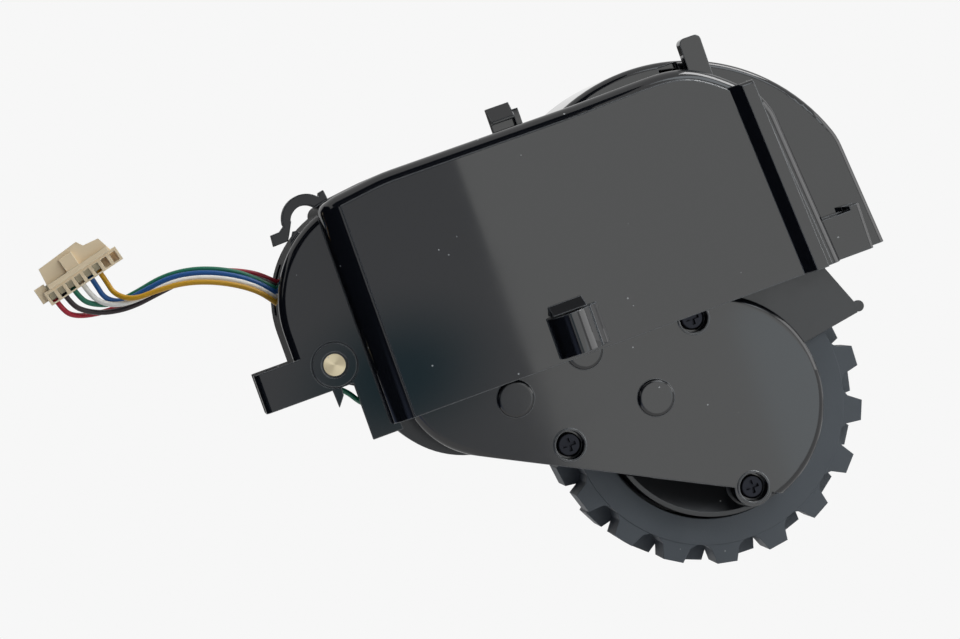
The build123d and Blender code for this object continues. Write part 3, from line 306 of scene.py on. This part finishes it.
grey = flat_card(
    "grey_card",
    [(-0.2, CARD_Y, CARD_FOOT), (0.197, CARD_Y, CARD_FOOT), (0.1906, CARD_Y, 0.3), (-0.2, CARD_Y, 0.3)],
    grey_card,
)
front_outline = [
    (-1.2, CARD_FOOT), (-0.12, CARD_FOOT), (-0.08, 0.05), (0.02, 0.055),
    (0.26, 0.055), (0.29, 0.4), (-1.2, 0.4),
]
front_dark = flat_card("front_dark_card", [(x, DARK_Y, z) for x, z in front_outline], dark_card)
left_dark = flat_card(
    "left_dark_card",
    [(-1.2, DARK_Y, CARD_FOOT), (-1.2, DARK_Y, CARD_TOP), (-0.75, 0.6, CARD_TOP), (-0.75, 0.6, CARD_FOOT)],
    left_card,
)
upper_dark = flat_card(
    "upper_dark_card",
    [(-0.6, -0.95, 0.4), (0.29, -0.95, 0.4), (0.29, -0.55, 0.75), (-0.6, -0.55, 0.75)],
    dark_card,
)
back = flat_card(
    "back_card", [(-0.2, 0.6, -0.12), (0.13, 0.6, -0.12), (0.13, 0.6, 0.09), (-0.2, 0.6, 0.09)], back_card
)
back.visible_diffuse = False
back.visible_shadow = False
cards = [grey, front_dark, left_dark, upper_dark, back]
for card in cards:
    card.visible_camera = False
print("cards", [card.name for card in cards])

# %% [markdown]
# Moulded grain and handling marks are on many of the finishes, each time with other values. They could be
# built again in every material. Node groups with named inputs are shorter and stay alike. These helpers
# make an empty group and the nodes that both groups use.

# %% Helpers for node groups
def new_group(name, inputs, outputs):
    group = bpy.data.node_groups.new(name, "ShaderNodeTree")
    for label, kind, value in inputs:
        socket = group.interface.new_socket(label, in_out="INPUT", socket_type=kind)
        socket.default_value = value
    for label, kind in outputs:
        group.interface.new_socket(label, in_out="OUTPUT", socket_type=kind)
    start = group.nodes.new("NodeGroupInput")
    end = group.nodes.new("NodeGroupOutput")
    return group, start, end


def noise(tree, place, detail, roughness=0.55):
    node = tree.nodes.new("ShaderNodeTexNoise")
    node.inputs["Detail"].default_value = detail
    node.inputs["Roughness"].default_value = roughness
    tree.links.new(place, node.inputs["Vector"])
    return node


def ramp(tree, source, low, high, out_low=0.0, out_high=1.0):
    node = tree.nodes.new("ShaderNodeMapRange")
    tree.links.new(source, node.inputs["Value"])
    for label, value in zip(("From Min", "From Max", "To Min", "To Max"), (low, high, out_low, out_high)):
        node.inputs[label].default_value = value
    return node.outputs["Result"]


print("helpers new_group, noise and ramp")

# %% [markdown]
# A mould leaves fine grain on a plastic face and a small radius on every edge. The radius is too small to
# be worth drawing on each solid, so a Bevel node rounds the normal there. Where the rounded normal departs
# from the true one the surface is an edge, which gives a mask for a painted highlight: a paler colour on
# edges.

# %% Moulded grain and the mask for painted edge highlights
FINE_GRAIN = 2500.0
SMALL_EDGE = 0.0002
EDGE_SAMPLES = 6
# How far the two normals agree where the painted edge highlight starts, and where it is strongest.
HIGHLIGHT_RANGE = (0.99, 0.86)


def grain_group():
    """Fine grain over rounded edges, and a mask of those edges for a painted highlight."""
    group, start, end = new_group(
        "moulded_grain",
        [
            ("Scale", "NodeSocketFloat", FINE_GRAIN),
            ("Height", "NodeSocketFloat", 0.00002),
            ("Edge", "NodeSocketFloat", SMALL_EDGE),
        ],
        [("Normal", "NodeSocketVector"), ("Painted highlight", "NodeSocketFloat")],
    )
    edge = group.nodes.new("ShaderNodeBevel")
    edge.samples = EDGE_SAMPLES
    group.links.new(start.outputs["Edge"], edge.inputs["Radius"])
    flat = group.nodes.new("ShaderNodeNewGeometry")
    agree = group.nodes.new("ShaderNodeVectorMath")
    agree.operation = "DOT_PRODUCT"
    group.links.new(edge.outputs["Normal"], agree.inputs[0])
    group.links.new(flat.outputs["Normal"], agree.inputs[1])
    # The edge mask goes out for a painted highlight along the edges.
    group.links.new(ramp(group, agree.outputs["Value"], *HIGHLIGHT_RANGE), end.inputs["Painted highlight"])
    place = group.nodes.new("ShaderNodeTexCoord")
    field = noise(group, place.outputs["Object"], 3.0)
    group.links.new(start.outputs["Scale"], field.inputs["Scale"])
    bump = group.nodes.new("ShaderNodeBump")
    bump.inputs["Strength"].default_value = 0.6
    group.links.new(start.outputs["Height"], bump.inputs["Distance"])
    group.links.new(field.outputs["Fac"], bump.inputs["Height"])
    group.links.new(edge.outputs["Normal"], bump.inputs["Normal"])
    group.links.new(bump.outputs["Normal"], end.inputs["Normal"])
    return group


GRAIN = grain_group()
print("group", GRAIN.name)

# %% [markdown]
# A part that has been handled has cloudy patches of changed gloss and a few specks of dust. They could be
# painted on an image, but that would need a flat map of every piece. Here patches come from a broad
# noise. Specks come from the middles of small cells, kept only where a second noise is high, because dust
# is sparse and uneven.

# %% Handling marks
PATCH_SCALE = 27.0
SPECK_CELLS = 260.0
SPECK_SPREAD = 90.0
PATCH_RANGE = (0.47, 0.66)
SPECK_RANGE = (0.035, 0.055)
DUSTY_RANGE = (0.51, 0.55)


def multiply(tree, first, second):
    node = tree.nodes.new("ShaderNodeMath")
    node.operation = "MULTIPLY"
    tree.links.new(first, node.inputs[0])
    tree.links.new(second, node.inputs[1])
    return node.outputs[0]


def marks_group():
    """Masks of the cloudy patches and of the specks of dust."""
    group, start, end = new_group(
        "handling_marks",
        [("Amount", "NodeSocketFloat", 1.0)],
        [("Patches", "NodeSocketFloat"), ("Dust", "NodeSocketFloat")],
    )
    place = group.nodes.new("ShaderNodeTexCoord").outputs["Object"]
    amount = start.outputs["Amount"]
    clouds = noise(group, place, 8.0, 0.68)
    clouds.inputs["Scale"].default_value = PATCH_SCALE
    patches = ramp(group, clouds.outputs["Fac"], *PATCH_RANGE)
    group.links.new(multiply(group, patches, amount), end.inputs["Patches"])
    cells = group.nodes.new("ShaderNodeTexVoronoi")
    cells.inputs["Scale"].default_value = SPECK_CELLS
    group.links.new(place, cells.inputs["Vector"])
    specks = ramp(group, cells.outputs["Distance"], *SPECK_RANGE, 1.0, 0.0)
    sparse = noise(group, place, 1.0)
    sparse.inputs["Scale"].default_value = SPECK_SPREAD
    kept = ramp(group, sparse.outputs["Fac"], *DUSTY_RANGE)
    group.links.new(multiply(group, multiply(group, specks, amount), kept), end.inputs["Dust"])
    return group


MARKS = marks_group()
print("group", MARKS.name)

# %% [markdown]
# Every finish has its own Principled BSDF. Its colour and roughness could always come through nodes, but a
# value that is the same all over belongs on the shader itself. So the marks are added only to the pieces
# that are handled: dust pales the colour, and the patches are rougher than the rest.

# %% How a finish is made
DUST = (0.35, 0.36, 0.36, 1.0)
finishes = {}


def colour_mix(tree, factor, second):
    """Mix node that leaves its first colour open and goes to second by factor."""
    node = tree.nodes.new("ShaderNodeMix")
    node.data_type = "RGBA"
    node.inputs["B"].default_value = second
    tree.links.new(factor, node.inputs["Factor"])
    return node


def add_marks(material, colour, roughness, wear, haze):
    """Dust over a colour, and patches that raise the roughness by up to haze."""
    tree = material.node_tree
    bsdf = tree.nodes["Principled BSDF"]
    marks = tree.nodes.new("ShaderNodeGroup")
    marks.node_tree = MARKS
    marks.inputs["Amount"].default_value = wear
    dusty = colour_mix(tree, marks.outputs["Dust"], DUST)
    dusty.inputs["A"].default_value = (*colour, 1.0)
    tree.links.new(dusty.outputs["Result"], bsdf.inputs["Base Color"])
    gloss = ramp(tree, marks.outputs["Patches"], 0.0, 1.0, roughness, min(1.0, roughness + haze))
    tree.links.new(gloss, bsdf.inputs["Roughness"])


def finish(name, colour, roughness, metallic=0.0, ior=1.5, wear=0.0, haze=0.16):
    """Keep a finish under its name, with handling marks if it has any wear."""
    material = bpy.data.materials.new(name)
    material.use_nodes = True
    bsdf = material.node_tree.nodes["Principled BSDF"]
    bsdf.inputs["Base Color"].default_value = (*colour, 1.0)
    bsdf.inputs["Roughness"].default_value = roughness
    bsdf.inputs["Metallic"].default_value = metallic
    bsdf.inputs["IOR"].default_value = ior
    if wear:
        add_marks(material, colour, roughness, wear, haze)
    finishes[name] = material
    return material


print("dust", DUST)

# %% [markdown]
# Only some pieces of the real part have a grain, and some also get a painted highlight along their edges.
# Options of the function above could add them too, but a step of its own is easier to follow.

# %% Grain and painted edge highlights
def add_grain(material, height, scale=FINE_GRAIN, edge=SMALL_EDGE, painted_highlight=None):
    """Grain and rounded edges on a finish, with a painted highlight of another colour on its edges if one is
    given.
    """
    tree = material.node_tree
    bsdf = tree.nodes["Principled BSDF"]
    grain = tree.nodes.new("ShaderNodeGroup")
    grain.node_tree = GRAIN
    grain.inputs["Scale"].default_value = scale
    grain.inputs["Height"].default_value = height
    grain.inputs["Edge"].default_value = edge
    tree.links.new(grain.outputs["Normal"], bsdf.inputs["Normal"])
    # Painted highlight: the edge mask pales the base colour along the edges.
    if painted_highlight:
        base = bsdf.inputs["Base Color"]
        highlighted_colour = colour_mix(tree, grain.outputs["Painted highlight"], (*painted_highlight, 1.0))
        highlighted_colour.inputs["A"].default_value = base.default_value
        if base.is_linked:
            tree.links.new(base.links[0].from_socket, highlighted_colour.inputs["A"])
        tree.links.new(highlighted_colour.outputs["Result"], base)


print("grain of", FINE_GRAIN, "on edges of", SMALL_EDGE)

# %% [markdown]
# Three black plastics. The housing is the glossiest, a nearly perfect mirror. The gearbox cover is a little
# duller, so its reflections are softer, and the rear shell is satin. All three are almost black underneath:
# their greys in the photograph are reflections, and a grey base colour would flatten them.

# %% Black plastics
# The colour below is a painted highlight on the edges of the housing and cover; the rear shell gets a
# fainter one.
EDGE_HIGHLIGHT_COLOUR = (0.14, 0.15, 0.16)

housing_black = finish("black_gloss_plastic", (0.004, 0.0045, 0.006), 0.03, ior=1.56, wear=1.0, haze=0.02)
add_grain(housing_black, 3e-7, edge=0.0003, painted_highlight=EDGE_HIGHLIGHT_COLOUR)
cover_black = finish("black_cover_plastic", (0.005, 0.0055, 0.007), 0.07, ior=1.56, wear=1.0, haze=0.04)
add_grain(cover_black, 5e-7, edge=0.0003, painted_highlight=EDGE_HIGHLIGHT_COLOUR)
shell_black = finish("black_shell_plastic", (0.006, 0.0065, 0.008), 0.28, ior=1.54, wear=0.8, haze=0.12)
add_grain(shell_black, 1.5e-6, painted_highlight=(0.06, 0.065, 0.07))
print("plastics", housing_black.name, cover_black.name, shell_black.name)

# %% [markdown]
# The tyre is matt rubber with a coarse grain and a bluish grey cast, and the hub behind it is hard black
# plastic. Rubber scatters light, so here the base colour does the work that gloss does on the housing.
# Its lugs are solid. Only the grain, which is far too fine to model, is a bump.

# %% Tyre and hub
tyre_rubber = finish("tyre_rubber", (0.066, 0.076, 0.086), 0.6, wear=0.7)
add_grain(tyre_rubber, 2.5e-5, scale=1800.0)
hub_plastic = finish("hub_plastic", (0.018, 0.019, 0.02), 0.4, wear=0.5)
add_grain(hub_plastic, 8e-6)
print("wheel finishes", tyre_rubber.name, hub_plastic.name)

# %% [markdown]
# Of the metals the pivot pin's end and the cover screws show best. The pin's end was turned on a lathe and
# looks slightly yellow. Its fine rings could be a texture, but stretched highlights look the same and never
# shimmer. The screws are dark. The others are inside, each with the plain colour of its metal.

# %% Metals
def add_lathe_lines(material, share):
    """Stretched highlights of an end face that was turned about the Y axis."""
    tree = material.node_tree
    bsdf = tree.nodes["Principled BSDF"]
    lathe = tree.nodes.new("ShaderNodeTangent")
    lathe.direction_type = "RADIAL"
    lathe.axis = "Y"
    tree.links.new(lathe.outputs["Tangent"], bsdf.inputs["Tangent"])
    bsdf.inputs["Anisotropic"].default_value = share


pin_steel = finish("pin_steel", (0.74, 0.63, 0.42), 0.32, metallic=1.0, wear=0.5)
add_lathe_lines(pin_steel, 0.8)
finish("dark_screws", (0.022, 0.023, 0.028), 0.36, metallic=1.0, wear=0.4)
finish("spring_steel", (0.42, 0.42, 0.44), 0.3, metallic=1.0)
finish("bush_bronze", (0.42, 0.26, 0.11), 0.4, metallic=1.0)
finish("motor_steel", (0.55, 0.55, 0.56), 0.32, metallic=1.0, wear=0.4)
finish("gear_brass", (0.68, 0.5, 0.24), 0.3, metallic=1.0)
finish("gear_steel", (0.28, 0.28, 0.29), 0.4, metallic=1.0)
finish("terminal_brass", (0.62, 0.55, 0.38), 0.3, metallic=1.0)
print("finishes so far", len(finishes))

# %% [markdown]
# Inside are the motor's end cap, plastic gears, a small magnet and a green circuit board. Nobody sees them
# until the part is opened, so they could be left grey. They get simple finishes, so that each can still be
# told from its neighbours.

# %% Inside pieces
cap_plastic = finish("cap_plastic", (0.52, 0.49, 0.42), 0.5)
add_grain(cap_plastic, 8e-6)
finish("gear_plastic", (0.72, 0.70, 0.62), 0.42)
finish("magnet_black", (0.035, 0.035, 0.04), 0.5)
finish("board_green", (0.02, 0.13, 0.05), 0.35)
print("finishes so far", len(finishes))

# %% [markdown]
# The connector is cream plastic with a painted highlight along its edges, and each wire has a coloured soft
# sleeve. The sleeves get a low index of refraction, because a strong white reflection would wash out such
# thin colours.

# %% Connector and wire sleeves
SLEEVE_IOR = 1.42

connector_cream = finish("connector_cream", (0.8, 0.64, 0.42), 0.42)
# The connector's paler edges are a painted highlight.
add_grain(connector_cream, 4e-6, edge=0.00015, painted_highlight=(0.95, 0.9, 0.72))
finish("wire_red", (0.36, 0.004, 0.02), 0.4, ior=SLEEVE_IOR)
finish("wire_black", (0.02, 0.01, 0.012), 0.4, ior=SLEEVE_IOR)
finish("wire_green", (0.003, 0.14, 0.075), 0.4, ior=SLEEVE_IOR)
finish("wire_white", (0.8, 0.78, 0.72), 0.45, ior=SLEEVE_IOR)
finish("wire_blue", (0.004, 0.075, 0.26), 0.4, ior=SLEEVE_IOR)
finish("wire_yellow", (0.52, 0.27, 0.006), 0.42, ior=SLEEVE_IOR)
print("finishes", len(finishes))

# %% [markdown]
# Each solid of the real part is of one material, and the record says which. The pairs could be listed here
# again, but a second list could drift from the first, so they are read from the record.

# %% Put the finishes on the CAD pieces
slots = {entry["node"]: entry["material_slot"] for entry in frame["record"]["subparts"]}
for name, node in nodes.items():
    node.data.materials.clear()
    node.data.materials.append(finishes[slots[name]])
print("dressed", len(nodes))

# %% [markdown]
# The photographed roof is fuller at its right shoulder than the CAD's, by up to 2 mm. The solid isn't
# changed here. A skin of the same plastic lies over it and makes the fuller curve, with the same rounded
# front edge and raised field. It stays in front of the arch and sinks into the roof at both ends, so
# that it starts and stops without a step.

# %% Outline of the fuller shoulder
# x and z of the fuller outline, then how far the CAD's own outline lies inside it, in mm.
SHOULDER = [
    (56.0, 48.3, -0.1), (60.0, 48.34, -0.06), (64.0, 48.44, 0.04), (68.0, 48.54, 0.14),
    (72.0, 48.64, 0.24), (76.0, 48.72, 0.32), (80.0, 48.74, 0.36), (83.2, 48.56, 0.45),
    (86.3, 47.98, 0.95), (89.3, 46.82, 1.3), (92.2, 45.06, 1.55), (94.5, 43.3, 1.7),
    (96.6, 41.5, 1.6), (98.5, 39.8, 1.6), (100.3, 37.8, 1.4), (101.4, 35.8, 0.6),
    (101.9, 33.6, 0.1), (102.15, 31.4, -0.08), (102.3, 29.4, -0.1),
]
STEPS_BETWEEN = 6


def smooth_rows(points, steps):
    """Points of a smooth curve through all but the first and last of the given ones."""
    rows = []
    spots = [Vector(point) for point in points]
    for a, b, c, d in zip(spots, spots[1:], spots[2:], spots[3:]):
        for step in range(steps):
            t = step / steps
            square = (2 * a - 5 * b + 4 * c - d) * t ** 2
            cube = (3 * b - a - 3 * c + d) * t ** 3
            rows.append(0.5 * (2 * b + (c - a) * t + square + cube))
    return rows


shoulder_rows = smooth_rows(SHOULDER, STEPS_BETWEEN)
print("rows along the shoulder", len(shoulder_rows))

# %% [markdown]
# The skin is made from cross-sections, like the ribs of a boat. Each goes from the roof's back round the
# front edge, over the small step of the raised field, and dives into the solid, where its end can't be
# seen. A curve with a bevel profile would be shorter to write, but it can't change along the way.

# %% Cross-section of the skin
EDGE_RADIUS = 2.2
EDGE_PARTS = 12
STEP_WIDTH = 0.06
FIELD_Y = -0.16
FADE_Y = -0.145
FIELD_REACH = 0.6
FADE_REACH = 2.0
LIP_REACH = 2.4
LIP_Y = 0.5
SKIN_THICKNESS = 1.0
SKIN_BACK = 9.0


def skin_section(inside, sink):
    """Outline of one cross-section: how far in from the fuller outline, and the depth."""
    turns = [math.radians(90 * part / EDGE_PARTS) for part in range(EDGE_PARTS + 1)]
    bend = [
        (EDGE_RADIUS * (1 - math.cos(turn)), EDGE_RADIUS * (1 - math.sin(turn)) + sink)
        for turn in turns
    ]
    cad_edge = EDGE_RADIUS + inside
    face = [
        (EDGE_RADIUS + STEP_WIDTH, FIELD_Y + sink),
        (cad_edge + FIELD_REACH, FIELD_Y + sink),
        (cad_edge + FADE_REACH, FADE_Y + sink),
    ]
    hidden = [
        (cad_edge + LIP_REACH, LIP_Y),
        (inside + SKIN_THICKNESS, SKIN_THICKNESS),
        (inside + SKIN_THICKNESS, SKIN_BACK),
    ]
    return [(0.0, SKIN_BACK)] + bend + face + hidden


print("points in a section", len(skin_section(0.0, 0.0)))

# %% [markdown]
# Each section stands square to the outline, so the edge stays equally round all the way. Where the outline
# comes down to the solid, the section also sinks back a little, so that the two never lie in one
# plane and flicker. Neighbouring sections are joined by faces, and a face closes each end.

# %% Skin over the roof's shoulder
END_SINK = 0.03
SINK_SLOPE = 0.3
SINK_START = -0.02
SHARP_ANGLE = math.radians(25)


def section_corners(before, here, after):
    """Corners of the section at one row, square to the line between its neighbours."""
    along = Vector((after.x - before.x, after.y - before.y)).normalized()
    x, z, inside = here
    sink = max(0.0, END_SINK - SINK_SLOPE * max(0.0, inside - SINK_START))
    section = skin_section(inside, sink)
    return [from_drawing(x + along.y * inward, y, z - along.x * inward) for inward, y in section]


def roof_skin():
    sections = [section_corners(*rows) for rows in zip(shoulder_rows, shoulder_rows[1:], shoulder_rows[2:])]
    count = len(sections[0])
    last = (len(sections) - 1) * count
    faces = []
    for start in range(0, last, count):
        for side in range(count):
            after = (side + 1) % count
            faces.append((start + side, start + after, start + count + after, start + count + side))
    faces += [tuple(reversed(range(count))), tuple(range(last, last + count))]
    mesh = bpy.data.meshes.new("roof_skin")
    mesh.from_pydata([corner for section in sections for corner in section], [], faces)
    mesh.shade_smooth()
    mesh.set_sharp_from_angle(angle=SHARP_ANGLE)
    skin = bpy.data.objects.new("roof_skin", mesh)
    bpy.context.scene.collection.objects.link(skin)
    return skin


skin = roof_skin()
skin.data.materials.append(housing_black)
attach(skin, "housing")
print("roof skin", len(skin.data.polygons), "faces")

# %% [markdown]
# The loom is six thin wires from the cable outlet to the connector, and one short lead shows under the
# pivot. Gravity could be simulated to lay them, but then they would lie elsewhere than photographed. Their
# routes are the ones that part.py gives its tubes, so the sizes of its connector are repeated here.

# %% Sizes of the loom
WIRE_DIAMETER = 0.0011
CONNECTOR_AT = (-40.9, 18.4, 47.4)
CONNECTOR_TILT = math.radians(14.3)
WAY_PITCH = 2.1
WAY_COUNT = 8
INSERT = 0.8
DEPTH_SHARE = 0.35
print("ways in the connector", WAY_COUNT)

# %% [markdown]
# Nearly all of a loom wire lies at one depth, in front of or behind its neighbours. So its corners need
# only X and Z, and one depth does for all of them. That keeps the six from cutting through each other. The
# short lead bends in depth as well, and its points are written in full.

# %% Corners of the routes
# For each wire: how far below the connector it turns, its depth Y, and the corners (X, Z), in mm.
LOOM = {
    "red_wire": (2.0, 22.7, [
        (-45.9, 41.8), (-42.2, 40.7), (-36.8, 40.4), (-30.2, 41.0), (-23.5, 41.9), (-16.8, 41.3),
        (-10.6, 39.1), (-6.2, 36.3), (-3.2, 32.9),
    ]),
    "black_wire": (2.2, 21.5, [
        (-43.3, 41.9), (-39.7, 40.2), (-34.4, 39.5), (-28.2, 40.4), (-21.5, 41.3), (-15.0, 40.2),
        (-9.4, 37.5), (-5.6, 34.6), (-3.0, 31.2),
    ]),
    "green_wire": (2.2, 20.3, [
        (-41.4, 42.7), (-37.8, 41.4), (-32.4, 42.1), (-26.4, 43.4), (-20.2, 42.9), (-14.0, 40.6),
        (-8.9, 37.3), (-4.4, 32.2),
    ]),
    "white_wire": (2.3, 17.9, [
        (-39.7, 42.4), (-36.3, 40.7), (-30.8, 40.8), (-24.6, 41.8), (-18.0, 40.4), (-12.0, 37.4),
        (-7.8, 34.0), (-5.0, 30.0),
    ]),
    "blue_wire": (1.4, 19.1, [
        (-38.8, 42.9), (-35.4, 41.1), (-30.4, 42.0), (-24.4, 42.8), (-17.8, 41.4), (-11.8, 38.4),
        (-7.6, 35.0), (-4.4, 31.0),
    ]),
    "yellow_wire": (1.9, 16.6, [
        (-36.7, 43.2), (-33.4, 40.9), (-28.2, 41.1), (-22.4, 40.7), (-16.6, 38.8), (-11.2, 35.8),
        (-7.5, 32.5), (-5.3, 28.8),
    ]),
}
MOTOR_LEAD = [
    (-1.0, 18.0, 26.5), (-4.75, 10.9, 21.5), (-4.75, 10.9, 12.0), (0.2, 10.9, 9.7),
    (3.0, 12.5, 5.2), (4.2, 18.0, 5.0), (6.4, 20.5, 8.5),
]
print("loom", list(LOOM))

# %% [markdown]
# The connector is tilted, so the places of its ways are worked out, where measuring each one would add
# small errors. A wire starts inside its way, comes straight out of it, and then bends to its own depth.

# %% Routes from the corners
def on_way(way, height):
    """Point on the line of a way, at a height above the connector's lower face."""
    along = (way - (WAY_COUNT - 1) / 2) * WAY_PITCH
    x, y, z = CONNECTOR_AT
    return (
        x + along * math.cos(CONNECTOR_TILT) - height * math.sin(CONNECTOR_TILT),
        y,
        z + along * math.sin(CONNECTOR_TILT) + height * math.cos(CONNECTOR_TILT),
    )


def route(way, turn_below, depth, corners):
    """Control points of a loom wire, from inside its way to the cable outlet."""
    first_depth = CONNECTOR_AT[1] + DEPTH_SHARE * (depth - CONNECTOR_AT[1])
    (first_x, first_z), *others = corners
    points = [on_way(way, INSERT), on_way(way, -turn_below), (first_x, first_depth, first_z)]
    return points + [(x, depth, z) for x, z in others]


routes = {name: route(way, *parts) for way, (name, parts) in enumerate(LOOM.items())}
routes["green_motor_lead"] = MOTOR_LEAD
print("routes", {name: len(points) for name, points in routes.items()})

# %% [markdown]
# A wire could be a mesh tube, but a curve with a round bevel stays smooth at any distance and keeps its
# thickness in every bend. A NURBS curve is drawn towards its points without passing through them, which
# gives the loose bends of a limp wire.

# %% Wires as curves
BEND_ORDER = 3
PARTS_PER_BEND = 10
ROUNDNESS = 5


def wire_curve(name, points, material):
    data = bpy.data.curves.new(name + "_curve", "CURVE")
    data.dimensions = "3D"
    data.bevel_depth = WIRE_DIAMETER / 2
    data.bevel_resolution = ROUNDNESS
    data.use_fill_caps = True
    data.resolution_u = PARTS_PER_BEND
    spline = data.splines.new("NURBS")
    spline.points.add(len(points) - 1)
    for control, point in zip(spline.points, points):
        control.co = (*point, 1.0)
    spline.order_u = BEND_ORDER
    spline.use_endpoint_u = True
    wire = bpy.data.objects.new(name + "_curve", data)
    data.materials.append(material)
    bpy.context.scene.collection.objects.link(wire)
    return wire


wires = {}
for name, points in routes.items():
    spots = [from_drawing(*point) for point in points]
    wires[name] = (wire_curve(name, spots, finishes[slots[name]]), spots)
print("wires", list(wires))

# %% [markdown]
# The curve cuts the corners only a little. Each wire hangs from the housing, and the CAD tube that it
# replaces is hidden.

for name, (wire, spots) in wires.items():
    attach(wire, "housing")
    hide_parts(name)
